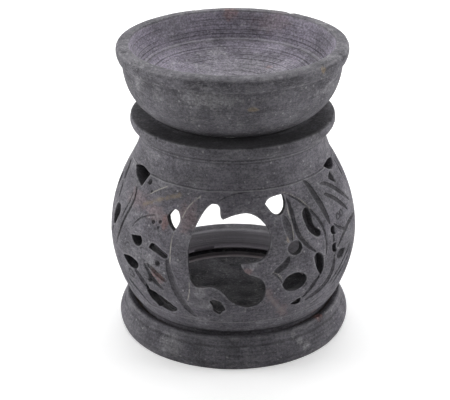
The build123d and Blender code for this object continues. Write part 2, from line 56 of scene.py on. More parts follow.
# %% Place the camera
CAMERA_PLACE = (-0.00275, -0.4183, 0.2364)
CAMERA_LENS = 108.4
CAMERA_PITCH = 24.78
CAMERA_ROLL = -0.456

camera = bpy.data.objects.new("camera", bpy.data.cameras.new("camera"))
scene.collection.objects.link(camera)
camera.data.sensor_width = 36
camera.data.lens = CAMERA_LENS
camera.location = CAMERA_PLACE
pitch = Matrix.Rotation(pi / 2 - radians(CAMERA_PITCH), 4, "X")
roll = Matrix.Rotation(radians(CAMERA_ROLL), 4, "Z")
camera.rotation_euler = (pitch @ roll).to_euler()
scene.camera = camera
scene.view_settings.view_transform = "Standard"

# %% [markdown]
# ## Curves
# Each profile of a turned piece is a few plain curves that meet at corners. Some are cubic curves
# with two handles, and some are smooth lines through measured points. A natural cubic is the line
# that a thin springy lath takes when it is pinned at the points. The runs are then walked at an even
# step, and each corner is left out by a hair so that it shades as a worn edge and not as a knife.

# %% Curves and profiles
def bent_curve(start, end, shares, count=60):
    """A cubic from start to end: its two handles stand at shares of the way across and of the way up."""
    start, end = np.array(start, float), np.array(end, float)
    first, second = [start + np.array(share) * (end - start) for share in shares]
    t = np.linspace(0, 1, count)[:, None]
    return (1 - t) ** 3 * start + 3 * t * (1 - t) ** 2 * first + 3 * t**2 * (1 - t) * second + t**3 * end


def lath_curve(points, count=40):
    """A natural cubic: the bend changes evenly from pin to pin and is nil at both ends."""
    points = np.array(points, float)
    gaps = np.hypot(*np.diff(points, axis=0).T)
    knots = np.concatenate(([0], np.cumsum(gaps)))
    at = np.linspace(0, knots[-1], count)
    if len(points) == 2:
        return np.column_stack([np.interp(at, knots, points[:, axis]) for axis in (0, 1)])
    system = np.eye(len(points))
    inner = np.arange(1, len(points) - 1)
    system[inner, inner - 1] = gaps[:-1]
    system[inner, inner] = 2 * (gaps[:-1] + gaps[1:])
    system[inner, inner + 1] = gaps[1:]
    slopes = np.diff(points, axis=0) / gaps[:, None]
    turning = np.zeros_like(points)
    turning[1:-1] = 6 * np.diff(slopes, axis=0)
    bend = np.linalg.solve(system, turning)
    span = np.clip(np.searchsorted(knots, at, "right") - 1, 0, len(gaps) - 1)
    h = gaps[span][:, None]
    a = (knots[span + 1] - at)[:, None]
    b = (at - knots[span])[:, None]
    straight = (points[span] * a + points[span + 1] * b) / h
    return straight + ((a**3 / h - a * h) * bend[span] + (b**3 / h - b * h) * bend[span + 1]) / 6


def run_along(line):
    """How far along a line each of its points lies."""
    return np.concatenate(([0], np.cumsum(np.hypot(*np.diff(line, axis=0).T))))


def walk(run, step, ease=0.0):
    """Points at an even step along a dense line, starting and ending short of it by ease."""
    run = np.array(run, float)
    along = run_along(run)
    count = max(1, round((along[-1] - 2 * ease) / step))
    at = np.linspace(ease, along[-1] - ease, count + 1)
    return np.column_stack([np.interp(at, along, run[:, axis]) for axis in (0, 1)])


def quarter(start, end, corner, count=8):
    """A quarter circle from start to end round a square corner."""
    turn = np.linspace(0, pi / 2, count)[:, None]
    start, end, corner = (np.array(point, float) for point in (start, end, corner))
    centre = start + end - corner
    return centre + (start - centre) * np.cos(turn) + (end - centre) * np.sin(turn)


def profile_of(runs, step, ease=0.08):
    """One profile from runs that meet at corners, with every corner taken off by a hair."""
    return np.vstack([walk(run, step, ease) for run in runs])


# %% [markdown]
# ## Chance
# Stone is never quite even, so the surfaces need a chance that comes out the same on every run. A
# hash turns the whole numbers of a lattice's corners into a value between minus one and one, and a
# point in between blends its eight corners with eased weights. This is the oldest kind of noise,
# and one call works on all the points of a piece at once.

# %% Lattice noise
def chance(points, size, seed=0):
    """Value noise from -1 to 1: hashed values at the corners of a lattice, blended with eased weights."""
    cell = np.floor(points / size).astype(np.int64)
    ease = points / size - cell
    ease = ease**2 * (3 - 2 * ease)
    total = np.zeros(points.shape[:-1])
    for corner in np.ndindex(2, 2, 2):
        x, y, z = np.moveaxis(cell + corner, -1, 0)
        key = (x * 73856093 ^ y * 19349663 ^ z * 83492791 ^ (seed + 7) * 26544357) & 0xFFFFFFFF
        key = (key ^ (key >> 13)) * 1274126177 & 0xFFFFFFFF
        key = (key ^ (key >> 16)) * 668265263 & 0xFFFFFFFF
        weight = np.prod(np.where(corner, ease, 1 - ease), axis=-1)
        total += weight * (key / 2147483648.0 - 1)
    return total


def wear(points, size, seed=0):
    """Noise of three sizes, from 0 for untouched to 1 for most worn."""
    total = chance(points, size, seed) + chance(points, size / 2.3, seed + 1) / 2
    total += chance(points, size / 5.1, seed + 2) / 4
    return np.clip(0.5 + total / 2.6, 0, 1)


def eased(value, low, high):
    """A smooth step from 0 at low to 1 at high."""
    share = np.clip((value - low) / (high - low), 0, 1)
    return share**2 * (3 - 2 * share)


# %% [markdown]
# ## From numbers to a mesh
# A turned surface is a profile swung round the axis: one parameter runs along the profile and the
# other goes round. The points form a grid, and its squares come from shifting the grid's own
# numbering by one, so no vertex is ever visited by a loop. A profile that ends on the axis is closed
# with a fan of triangles, and one that comes back to its start closes on itself.

# %% Grids and meshes
MM = 0.001


def swing(profile, turns):
    """Every point (r, z) of the profile at every turn a: (r sin a, -r cos a, z), with 0 at the front."""
    r, z = profile[:, :1], profile[:, 1:]
    return np.stack([r * np.sin(turns), -r * np.cos(turns), z + 0 * turns], axis=-1)


def outward(profile, turns):
    """The unit normal of a turned surface: the profile's own direction turned by a right angle."""
    along = np.gradient(profile, axis=0)
    along /= np.maximum(np.hypot(*along.T), 1e-9)[:, None]
    return swing(np.column_stack([along[:, 1], -along[:, 0]]), turns)


def ring_quads(numbers):
    """The squares between the rows of a table of vertex numbers whose columns go all the way round."""
    nearby = np.roll(numbers, -1, axis=1)
    return np.stack([numbers[:-1], nearby[:-1], nearby[1:], numbers[1:]], axis=-1).reshape(-1, 4)


def pole_fans(numbers, first_pole, last_pole):
    """Triangles that close the first and the last row on a point of the axis."""
    nearby = np.roll(numbers, -1, axis=1)
    low = np.stack([nearby[0], numbers[0], np.full_like(numbers[0], first_pole)], axis=-1)
    high = np.stack([numbers[-1], nearby[-1], np.full_like(numbers[0], last_pole)], axis=-1)
    return np.vstack([low, high])


def make_piece(name, points, faces, fields):
    """A mesh object from points in millimetres, tables of faces, and one number per point and field."""
    mesh = bpy.data.meshes.new(name)
    sizes = np.concatenate([np.full(len(table), table.shape[1]) for table in faces])
    used, corners = np.unique(np.concatenate([table.ravel() for table in faces]), return_inverse=True)
    points = points[used]
    mesh.vertices.add(len(points))
    mesh.vertices.foreach_set("co", (points * MM).ravel())
    mesh.loops.add(len(corners))
    mesh.loops.foreach_set("vertex_index", corners.astype(np.int32))
    mesh.polygons.add(len(sizes))
    mesh.polygons.foreach_set("loop_start", np.concatenate(([0], np.cumsum(sizes)[:-1])).astype(np.int32))
    mesh.polygons.foreach_set("use_smooth", np.ones(len(sizes), dtype=bool))
    for field, values in fields.items():
        carried = mesh.attributes.new(field, "FLOAT", "POINT")
        carried.data.foreach_set("value", values[used].astype(np.float32))
    mesh.update(calc_edges=True)
    mesh.validate()
    piece = bpy.data.objects.new(name, mesh)
    scene.collection.objects.link(piece)
    print(name, "triangles:", int((sizes - 2).sum()))
    return piece


def from_edges(profile, edges):
    """How far along the profile each of its points lies from the nearest of its sharp edges."""
    run = run_along(profile)
    at_edges = [run[np.hypot(*(profile - edge).T).argmin()] for edge in edges]
    return np.abs(run[:, None] - np.array(at_edges)).min(axis=1)


# %% [markdown]
# ## The bowl
# The bowl is turned from one piece: a rounded outside, a thick rim that stands a little proud, and a
# shallow well whose floor dips. Its edges have softened with handling, and the rim carries a nick on
# the left and a few chips. The profile follows the model's own sizes. The wear only ever takes stone
# away, because a real knock does too, and it keeps the piece inside the model's box. The points of
# the profiles are a radius and a height in millimetres.

# %% Bowl
def knocks(points, places):
    """How deep the knocks go: each is a place, a radius and a depth, and fades to its edge."""
    depth = np.zeros(points.shape[:-1])
    for place, radius, deep in places:
        away = np.linalg.norm(points - np.array(place), axis=-1)
        depth = np.maximum(depth, deep * eased(radius - away, 0, radius * 0.8))
    return depth


TURNED_COLUMNS = 440
ROW_STEP = 0.85
BOWL_ROW_STEP = 0.75
TURNED_WEAR = 0.12
ROOM_BLEND = 0.8
NOWHERE = -9.0


def turned_piece(name, profile, room_start, edges, creases, places, seed, spared=NOWHERE):
    """A profile on the axis at both ends, swung round, worn along its normals except where it rests."""
    turns = np.linspace(-pi, pi, TURNED_COLUMNS, endpoint=False)
    rows = profile[1:-1]
    points = swing(rows, turns)
    sink = TURNED_WEAR * wear(points, 9.0, seed) + knocks(points, places)
    sink *= eased(np.abs(rows[:, 1:] - spared), 0.5, 2.5)
    points -= sink[..., None] * outward(profile, turns)[1:-1]
    numbers = np.arange(points[..., 0].size).reshape(points.shape[:2])
    poles = np.array([[0, 0, profile[0, 1]], [0, 0, profile[-1, 1]]])
    run = run_along(profile)
    start = run[np.hypot(*(profile - room_start).T).argmin()]
    rows_of = {
        "run": run, "room": eased(run, start, start + ROOM_BLEND),
        "edge": from_edges(profile, edges), "crease": from_edges(profile, creases),
    }
    fields = {
        field: np.concatenate([np.repeat(row[1:-1], TURNED_COLUMNS), row[[0, -1]]])
        for field, row in rows_of.items()
    }
    faces = [ring_quads(numbers), pole_fans(numbers, numbers.size, numbers.size + 1)]
    return make_piece(name, np.vstack([points.reshape(-1, 3), poles]), faces, fields)


BOWL_FOOT = (12.6, 73.63)
BOWL_WALL = (35.95, 95.23)
BOWL_SEAT = 76.5
RIM_UNDER = (37.1, BOWL_WALL[1])
RIM_SIDE = (37.8, 97.93)
RIM_SHOULDER = (37.33, 99.56)
RIM_TOP = 100.03
RIM_OUTSIDE = (35.93, RIM_TOP)
RIM_INSIDE = (33.6, RIM_TOP)
STEP_TOP = (29.5, 91.33)
STEP_FOOT = (28.8, 90.93)
WELL_MIDDLE = (0, 84.83)

bowl_runs = [
    [(0, BOWL_FOOT[1]), BOWL_FOOT],
    bent_curve(BOWL_FOOT, BOWL_WALL, ((0.15, 0.0), (1.0, 0.045))),
    [BOWL_WALL, RIM_UNDER],
    lath_curve([RIM_UNDER, RIM_SIDE, RIM_SHOULDER, RIM_OUTSIDE]),
    [RIM_OUTSIDE, RIM_INSIDE],
    bent_curve(RIM_INSIDE, STEP_TOP, ((0, 0), (0.45, 0.45))),
    [STEP_TOP, STEP_FOOT],
    bent_curve(STEP_FOOT, WELL_MIDDLE, ((0.22, 0.75), (0.6, 1.0))),
]
RIM_KNOCKS = (
    ((-34.2, -11.2, 100.2), 0.9, 0.7),
    ((34.6, -15.2, 99.4), 1.8, 0.5),
    ((36.6, -9.2, 98.9), 1.3, 0.4),
    ((20.0, 30.6, 100.0), 1.8, 0.4),
    ((-12.0, 35.6, 100.0), 1.5, 0.35),
    ((-22.0, -30.4, 98.6), 1.1, 0.3),
)
bowl_edges = (RIM_UNDER, RIM_SHOULDER, RIM_INSIDE, STEP_TOP)
bowl = turned_piece(
    "bowl_worn", profile_of(bowl_runs, BOWL_ROW_STEP), room_start=RIM_INSIDE, edges=bowl_edges,
    creases=(BOWL_WALL, STEP_FOOT), places=RIM_KNOCKS, seed=3, spared=BOWL_SEAT,
)

# %% [markdown]
# ## The base
# The base is a thick disc with a rounded side. On top it has a moat for the pot's spigot and a shallow
# well where the candle stands, which shows as the dark floor through the window. It comes off the
# same lathe as the bowl, so it is the same kind of surface with another profile.

# %% Base
SEAT = 8.8
MOAT = 34.9
MOAT_LIP = (MOAT, 10.7)
FOOT = (38.8, 0)
FOOT_SIDE = (39.7, 2.8)
FOOT_STEP = (37.9, 8.0)
SHOULDER = (37.2, 10.5)
BASE_TOP = (36.5, 11.2)
CANDLE_WELL = 29.3
WELL_FLOOR = 7.2
WELL_ROUND = 0.6
WELL_SIDE = (CANDLE_WELL, WELL_FLOOR + WELL_ROUND)
WELL_BOTTOM = (CANDLE_WELL - WELL_ROUND, WELL_FLOOR)
WELL_EDGE = (28.9, 7.3)

base_runs = [
    [(0, 0), FOOT],
    lath_curve([FOOT, FOOT_SIDE, FOOT_STEP]),
    [FOOT_STEP, SHOULDER],
    quarter(SHOULDER, BASE_TOP, (SHOULDER[0], BASE_TOP[1])),
    [BASE_TOP, MOAT_LIP],
    [MOAT_LIP, (MOAT, SEAT)],
    [(MOAT, SEAT), (CANDLE_WELL, SEAT)],
    [(CANDLE_WELL, SEAT), WELL_SIDE],
    quarter(WELL_SIDE, WELL_BOTTOM, (CANDLE_WELL, WELL_FLOOR)),
    [WELL_BOTTOM, (0, WELL_FLOOR)],
]
FOOT_KNOCKS = (
    ((-25.0, -29.6, 8.6), 2.4, 0.35),
    ((-21.5, -31.6, 8.4), 1.8, 0.3),
    ((28.5, -23.5, 10.8), 1.6, 0.5),
    ((12.0, 36.0, 9.0), 2.2, 0.4),
)
base = turned_piece(
    "base_worn", profile_of(base_runs, ROW_STEP), room_start=(MOAT, SEAT), edges=(SHOULDER, WELL_EDGE),
    creases=(FOOT_STEP,), places=FOOT_KNOCKS, seed=11,
)

# %% [markdown]
# ## The cement
# The pot is bedded in cement, and what shows is a thin, uneven, brownish bead down in the joint.
# It is a ring whose section is a small round-topped block. Its top sinks and swells along the way,
# as it does when it is pushed in with a finger.

# %% Cement bead
def bead_of_cement(inside=33.87, outside=34.83, foot=8.87, shoulder=10.2, top=10.5, columns=360):
    """A closed section swung round the axis, whose top is let down by noise."""
    crown = ((inside + outside) / 2, top)
    section = profile_of([
        [(inside, foot), (outside, foot)],
        [(outside, foot), (outside, shoulder)],
        quarter((outside, shoulder), crown, (outside, top)),
        quarter(crown, (inside, shoulder), (inside, top)),
        [(inside, shoulder), (inside, foot)],
    ], step=0.16, ease=0.03)
    points = swing(section, np.linspace(-pi, pi, columns, endpoint=False))
    high = eased(points[..., 2], 9.2, top)
    points[..., 2] -= high * (0.75 * wear(points * (1, 1, 0), 3.0, seed=5) + 0.1)
    numbers = np.arange(points[..., 0].size).reshape(points.shape[:2])
    faces = [ring_quads(np.vstack([numbers, numbers[:1]]))]
    fields = {"run": np.repeat(run_along(section), columns)}
    return make_piece("cement_bead", points.reshape(-1, 3), faces, fields)


cement = bead_of_cement()

# %% [markdown]
# ## The pot's skin
# The pot's wall is two surfaces, the belly outside and the chamber inside, and every hole has to go
# through both. So the carved band gets a fine grid of its own: columns go round the pot, finest at
# the front, and rows go up the belly. Whatever is worked out once for this grid, such as how far a
# point is from a hole, serves the outside, the inside and the walls of the holes.

# %% The pot's profiles and the grid of the carved band
BELLY_FOOT = (MOAT, 12.4)
BELLY_WIDE = (41.7, 34.5)
NECK = (31.05, 67.8)
CHAMBER_FOOT = (29.8, 10.2)
CHAMBER_WIDE = (36.6, BELLY_WIDE[1])
MOUTH = 24.9
MOUTH_FOOT = (MOUTH, 68.2)
COLLAR_TOP = 76.2
BAND_FOOT = 15.6
BAND_TOP = 64.0
CARVING_FOOT = 17.0
CARVING_HEIGHT = 44.8
UPPER_BEND = ((0.0, 0.54), (1.0, 0.835))
DENSE = 200
FRONT_STEP = 0.52
BACK_STEP = 1.06
FINE_TO = radians(86)
COARSE_FROM = radians(112)

belly = np.vstack([
    bent_curve(BELLY_FOOT, BELLY_WIDE, ((0.35, 0.11), (1.0, 0.55)), DENSE),
    bent_curve(BELLY_WIDE, NECK, UPPER_BEND, DENSE)[1:],
])
chamber = np.vstack([
    bent_curve(CHAMBER_FOOT, CHAMBER_WIDE, ((0.12, 0.14), (1.0, 0.55)), DENSE),
    bent_curve(CHAMBER_WIDE, MOUTH_FOOT, UPPER_BEND, DENSE)[1:],
])
belly_run = run_along(belly)


def belly_radius(z):
    """The belly's radius at a height."""
    return np.interp(z, belly[:, 1], belly[:, 0])


def chamber_radius(z):
    """The chamber's radius at a height."""
    return np.interp(z, chamber[:, 1], chamber[:, 0])


def column_turns():
    """Turns round the pot from -pi to pi: the step grows smoothly from the front towards the back."""
    fine = np.linspace(-pi, pi, 4000)
    step = FRONT_STEP + (BACK_STEP - FRONT_STEP) * eased(np.abs(fine), FINE_TO, COARSE_FROM)
    count = np.concatenate(([0], np.cumsum(np.diff(fine) * BELLY_WIDE[0] / step[:-1])))
    return np.interp(np.linspace(0, count[-1], round(count[-1]) + 1)[:-1], count, fine)


turns = column_turns()
band_ends = np.interp([BAND_FOOT, BAND_TOP], belly[:, 1], belly_run)
row_runs = np.linspace(*band_ends, round(np.ptp(band_ends) / FRONT_STEP) + 1)
row_heights = np.interp(row_runs, belly_run, belly[:, 1])
row_radii = belly_radius(row_heights)
print("carved band:", len(row_runs), "rows,", len(turns), "columns")

# %% [markdown]
# ## The pattern
# The carving is held as lists of points: the angle round the pot in degrees, and the height as a
# share of the carved band. A piercing is a closed outline of smooth runs that meet at corners, and
# each run starts at the last point of the one before it. A channel is one stroke of the gouge along
# its middle line. The sides and the back carry the same motifs on, mirrored or swung round, which is
# how a carver fills a band without a drawing.

# %% The outlines of the holes
WINDOW = (
    ((-6.8, 0.857), (-7.4, 0.9), (-8.4, 0.913)),
    ((-11.1, 0.915),),
    ((-13.7, 0.886), (-16.8, 0.81), (-19.2, 0.72), (-20.6, 0.625), (-20.8, 0.525), (-20.2, 0.424),
     (-18.9, 0.348), (-17.0, 0.315)),
    ((-14.0, 0.317), (-11.2, 0.326), (-8.2, 0.318), (-5.7, 0.29), (-3.4, 0.243), (-1.2, 0.203),
     (1.5, 0.173), (4.5, 0.156), (7.5, 0.154), (10.5, 0.17), (12.8, 0.21), (13.9, 0.275), (13.6, 0.335),
     (12.1, 0.38), (9.8, 0.41), (7.2, 0.424), (5.2, 0.446), (3.6, 0.48), (2.7, 0.515)),
    ((6.4, 0.516), (10.4, 0.524), (13.6, 0.548), (15.6, 0.592), (16.6, 0.647), (16.7, 0.703),
     (15.9, 0.748), (14.0, 0.794), (11.2, 0.83), (8.2, 0.852), (5.0, 0.858), (2.0, 0.852), (-1.0, 0.842),
     (-3.6, 0.828), (-5.9, 0.815)),
)
PIERCINGS = (
    ("once",
     ((17.6, 0.928), (20.8, 0.943), (24.0, 0.948), (26.6, 0.948)),
     ((26.9, 0.9), (26.1, 0.862), (24.6, 0.836), (22.3, 0.822), (20.1, 0.834), (17.9, 0.868),
      (16.2, 0.905))),
    ("mirrored",
     ((35.5, 0.805), (37.3, 0.825), (39.4, 0.82), (40.0, 0.785), (39.8, 0.735), (40.6, 0.688),
      (42.3, 0.662), (43.6, 0.64), (43.3, 0.612), (41.8, 0.606), (39.7, 0.624), (37.3, 0.66),
      (35.8, 0.71), (35.1, 0.765))),
    ("once",
     ((25.4, 0.612), (28.0, 0.63), (30.8, 0.622), (32.0, 0.588), (31.2, 0.547), (28.8, 0.53),
      (26.2, 0.54), (24.5, 0.575))),
    ("once",
     ((23.2, 0.362), (26.0, 0.386), (29.4, 0.388), (32.4, 0.366), (34.2, 0.322), (33.2, 0.274),
      (30.2, 0.247), (26.6, 0.244), (23.4, 0.266), (21.7, 0.318))),
    ("mirrored",
     ((39.6, 0.488), (41.8, 0.485), (43.8, 0.45)),
     ((44.3, 0.395), (43.9, 0.335), (42.8, 0.3)),
     ((40.9, 0.34), (39.3, 0.4), (38.2, 0.462))),
    ("once",
     ((29.8, 0.146), (32.2, 0.158)),
     ((32.5, 0.13), (31.9, 0.104)),
     ((29.6, 0.106), (27.1, 0.118))),
    ("mirrored",
     ((52.0, 0.63), (53.9, 0.62), (53.4, 0.585), (54.2, 0.56), (52.4, 0.566), (50.8, 0.585), (50.6, 0.612))),
    ("mirrored",
     ((53.6, 0.49), (53.3, 0.455), (54.2, 0.432), (52.2, 0.428), (50.5, 0.455), (50.6, 0.492))),
    ("mirrored",
     ((68.0, 1.016), (74.0, 1.014), (79.0, 0.995)),
     ((75.5, 0.962), (71.0, 0.952)),
     ((67.0, 0.97), (62.8, 1.008))),
    ("mirrored",
     ((-66.0, 1.014), (-60.0, 1.016), (-53.8, 1.0)),
     ((-55.6, 0.952), (-56.8, 0.905)),
     ((-61.0, 0.92), (-67.0, 0.948), (-72.0, 0.988))),
    ("swung",
     ((-32.2, 0.826), (-29.8, 0.846), (-28.2, 0.838)),
     ((-26.6, 0.79), (-27.4, 0.74), (-28.9, 0.704)),
     ((-31.2, 0.73), (-33.8, 0.79))),
    ("mirrored",
     ((-51.4, 0.578), (-47.6, 0.592)),
     ((-46.3, 0.556), (-47.4, 0.52), (-50.2, 0.508), (-52.2, 0.522), (-54.4, 0.565))),
    ("swung",
     ((-40.2, 0.574), (-36.8, 0.566), (-33.8, 0.545), (-30.9, 0.528)),
     ((-31.3, 0.5), (-33.4, 0.494), (-36.2, 0.51), (-39.2, 0.522), (-41.6, 0.535))),
    ("mirrored",
     ((-57.0, 0.384), (-51.4, 0.388), (-48.6, 0.366), (-49.6, 0.324), (-53.2, 0.3), (-57.2, 0.31),
      (-61.4, 0.36))),
    ("swung",
     ((-43.6, 0.2), (-40.8, 0.178)),
     ((-37.6, 0.168), (-35.0, 0.138), (-31.6, 0.11), (-28.0, 0.08)),
     ((-29.8, 0.042), (-33.2, 0.03), (-37.0, 0.036), (-40.6, 0.052), (-43.4, 0.09), (-45.2, 0.15),
      (-46.2, 0.235))),
    ("mirrored",
     ((-76.2, 0.662), (-73.4, 0.69), (-70.2, 0.69)),
     ((-69.0, 0.655), (-70.6, 0.59), (-73.2, 0.53), (-76.0, 0.51), (-77.8, 0.6))),
    ("once",
     ((-9.4, 0.215), (-7.0, 0.205), (-5.2, 0.172), (-4.2, 0.133), (-5.4, 0.1), (-7.4, 0.085),
      (-9.1, 0.115), (-10.9, 0.192))),
)
POCKETS = (
    ("mirrored",
     ((64.4, 0.944), (67.2, 0.952)),
     ((67.5, 0.91), (68.6, 0.858)),
     ((66.0, 0.882), (63.8, 0.904), (62.0, 0.926))),
    ("mirrored",
     ((58.0, 0.412), (62.4, 0.39)),
     ((60.2, 0.356), (57.0, 0.34), (54.8, 0.36), (54.6, 0.405))),
)
PITS = (
    (-51.2, 0.956, 1.0), (-41.2, 0.274, 1.0), (-36.3, 0.436, 1.0), (-32.3, 0.313, 0.6),
    (-41.1, 0.724, 0.75), (-37.1, 0.74, 0.65), (-37.6, 0.699, 0.55), (-47.5, 0.905, 0.5),
)
RINGS = ((58.1, 0.668, 1.0), (61.9, 0.671, 1.0), (-55.3, 0.241, 1.5))

# %% The strokes of the gouge
BROAD_STROKES = (
    ("once", ((41.0, 1.0), (43.5, 0.96), (45.1, 0.904), (47.4, 0.826), (48.9, 0.754), (50.1, 0.694),
     (51.0, 0.645))),
    ("once", ((52.0, 0.415), (51.8, 0.365), (51.2, 0.29), (48.8, 0.22), (45.2, 0.172), (39.6, 0.139),
     (34.8, 0.11))),
    ("once", ((25.0, 0.53), (23.3, 0.485), (20.6, 0.451), (17.1, 0.424))),
    ("swung", ((-52.5, 0.31), (-49.4, 0.275), (-45.6, 0.215), (-43.4, 0.17))),
)
SOFT_STROKES = (
    ("once", ((24.2, 0.82), (25.6, 0.745), (26.3, 0.69), (26.8, 0.63))),
    ("once", ((-31.0, 0.52), (-29.9, 0.407), (-28.4, 0.33), (-26.9, 0.256), (-24.6, 0.174),
     (-21.8, 0.092), (-18.2, 0.03))),
)
STROKES = (
    ("once", ((28.2, 0.925), (28.9, 0.872), (29.2, 0.814), (29.7, 0.737), (30.7, 0.669), (33.1, 0.606),
     (36.7, 0.542), (40.0, 0.497))),
    ("once", ((42.6, 0.31), (41.0, 0.281), (38.1, 0.233), (35.4, 0.181), (32.9, 0.148))),
    ("mirrored", ((52.2, 0.931), (56.8, 0.914), (61.3, 0.874), (65.7, 0.823), (70.7, 0.759),
     (77.1, 0.672))),
    ("mirrored", ((52.1, 0.861), (56.8, 0.825), (61.9, 0.766), (66.5, 0.703), (70.4, 0.645))),
    ("mirrored", ((54.5, 0.446), (57.8, 0.491), (62.6, 0.533), (68.9, 0.56), (76.0, 0.555),
     (82.5, 0.53))),
    ("mirrored", ((-86.0, 0.965), (-82.1, 0.938), (-79.7, 0.893), (-78.4, 0.842))),
    ("swung", ((-44.3, 0.404), (-42.0, 0.346), (-39.1, 0.293), (-33.7, 0.224))),
    ("swung", ((-42.7, 0.408), (-39.0, 0.373), (-34.9, 0.334), (-31.5, 0.306))),
)
FINE_STROKES = (
    ("once", ((27.9, 0.948), (31.7, 0.916), (35.4, 0.876), (38.9, 0.823), (42.2, 0.758), (44.8, 0.684),
     (46.1, 0.614), (46.5, 0.546), (46.3, 0.49), (45.8, 0.434))),
    ("once", ((52.3, 0.58), (52.2, 0.54), (51.9, 0.5))),
    ("once", ((-89.6, 0.629), (-87.7, 0.544), (-85.8, 0.48))),
    ("mirrored", ((53.4, 0.648), (56.0, 0.605), (60.1, 0.564), (63.7, 0.545), (67.7, 0.552))),
    ("mirrored", ((68.9, 0.417), (65.6, 0.359), (61.1, 0.309), (57.1, 0.253), (53.1, 0.206),
     (50.8, 0.155))),
    ("mirrored", ((70.0, 0.355), (67.0, 0.29), (61.8, 0.24), (57.0, 0.18), (52.5, 0.12))),
    ("mirrored", ((73.0, 0.3), (69.5, 0.22), (64.0, 0.15), (58.0, 0.09))),
    ("mirrored", ((81.0, 0.985), (81.6, 0.884), (82.5, 0.787))),
    ("mirrored", ((-61.9, 0.9), (-59.2, 0.846), (-58.7, 0.777), (-60.5, 0.694), (-63.1, 0.602),
     (-65.9, 0.504), (-69.2, 0.383))),
    ("mirrored", ((-78.5, 0.835), (-76.6, 0.767), (-76.1, 0.71))),
    ("mirrored", ((-76.2, 0.49), (-77.2, 0.45), (-78.1, 0.41))),
    ("mirrored", ((-59.5, 0.16), (-53.9, 0.106), (-50.4, 0.056), (-47.1, 0.013))),
    ("mirrored", ((-63.0, 0.179), (-57.6, 0.13), (-51.8, 0.073), (-48.3, 0.032))),
    ("mirrored", ((-70.7, 0.183), (-66.1, 0.131), (-61.4, 0.077), (-58.4, 0.031))),
)
HAIR_STROKES = (
    ("once", ((-8.3, 0.93), (-4.6, 0.957), (0.7, 0.98), (6.7, 0.99), (14.2, 0.989))),
    ("once", ((-55.6, 0.591), (-52.8, 0.663), (-49.2, 0.716), (-45.0, 0.751), (-40.5, 0.772),
     (-36.2, 0.773))),
    ("once", ((15.7, 0.428), (18.5, 0.4), (20.8, 0.356), (22.1, 0.305))),
    ("once", ((-49.6, 0.025), (-43.4, 0.013), (-38.0, 0.02))),
    ("once", ((-54.3, 0.49), (-57.0, 0.485), (-59.2, 0.45))),
    ("mirrored", ((-83.6, 0.92), (-80.6, 0.86), (-79.6, 0.8))),
    ("once", ((-62.4, 0.86), (-61.6, 0.79), (-63.4, 0.7), (-66.2, 0.6))),
    ("once", ((31.8, 0.37), (33.9, 0.32), (33.9, 0.265), (31.2, 0.228))),
    ("once", ((36.0, 0.03), (44.0, 0.06), (50.0, 0.1))),
)
PALE_LINES = (
    ("once", ((-49.4, 0.874), (-44.6, 0.922), (-38.1, 0.972))),
    ("once", ((-20.1, 0.351), (-20.3, 0.285), (-21.7, 0.185))),
    ("once", ((-29.0, 0.69), (-29.4, 0.641), (-29.6, 0.578), (-29.7, 0.503), (-29.2, 0.457))),
    ("once", ((-17.6, 0.954), (-21.4, 0.909), (-24.1, 0.856), (-25.6, 0.8))),
    ("once", ((17.1, 0.43), (19.7, 0.405), (21.6, 0.367))),
    ("once", ((26.4, 0.964), (33.3, 0.917), (38.1, 0.855), (40.6, 0.81))),
    ("once", ((27.3, 0.86), (27.9, 0.78), (28.1, 0.7), (28.3, 0.64))),
)
VEINS = (
    ("once", ((-50.1, 0.809), (-43.3, 0.86), (-35.4, 0.908), (-29.1, 0.936))),
    ("once", ((14.1, 0.297), (16.1, 0.226), (20.3, 0.13), (24.2, 0.064))),
)

# %% [markdown]
# ## Distances
# One number per point does most of the work on this belly: its distance to the nearest outline,
# counted negative inside the hole. It says where to cut, how far the edge is worn, how deep a stroke
# is and where its wall starts. Distances are taken on the belly's skin itself, from each point of
# the grid to each short piece of the outline, and only near that outline.

# %% Distance to outlines and strokes
MIRROR_RIGHT = 84.0
MIRROR_LEFT = -91.5
SWING = -60.0
SQUARE_SAWN = 60.0
REACH = 4.0
LINE_STEP = 0.35


def on_skin(points):
    """Points of the pattern as a turn and a distance up the belly's skin."""
    points = np.array(points, float)
    heights = CARVING_FOOT + points[:, 1] * CARVING_HEIGHT
    return np.column_stack([np.radians(points[:, 0]), np.interp(heights, belly[:, 1], belly_run)])


def repeated(table):
    """Each motif as its runs and the way it was cut from, and after it its repeat on the unseen side."""
    motifs = []
    for word, *runs in table:
        turned = [turn for run in runs for turn, _ in run]
        middle = (min(turned) + max(turned)) / 2
        facing = middle * min(1, (middle / SQUARE_SAWN) ** 2)
        motifs.append((runs, facing))
        if word == "mirrored":
            about = MIRROR_RIGHT if middle > 0 else MIRROR_LEFT
            runs = [[(2 * about - turn, share) for turn, share in run] for run in runs]
            motifs.append((runs, 2 * about - facing))
        if word == "swung":
            runs = [[(turn + SWING, share) for turn, share in run] for run in runs]
            motifs.append((runs, facing + SWING))
    return motifs


def skin_line(points):
    """A smooth line of the pattern, dense enough to measure from, as turns and runs."""
    line = on_skin(points) * (BELLY_WIDE[0], 1)
    length = np.hypot(*np.diff(line, axis=0).T).sum()
    return lath_curve(line, max(6, round(length / LINE_STEP))) / (BELLY_WIDE[0], 1)


def outline_of(runs):
    """A closed outline: smooth runs, each of which starts at the last point of the one before it."""
    return np.vstack([skin_line([runs[k - 1][-1], *run]) for k, run in enumerate(runs)])


def offsets(line, rows, columns):
    """From every point of a block of the grid to every corner of a line: across and up, in mm."""
    across = (line[:, 0] - turns[columns][:, None] + pi) % tau - pi
    across = across[None, :, :] * row_radii[rows][:, None, None]
    up = np.broadcast_to((line[:, 1] - row_runs[rows][:, None])[:, None, :], across.shape)
    return across, up


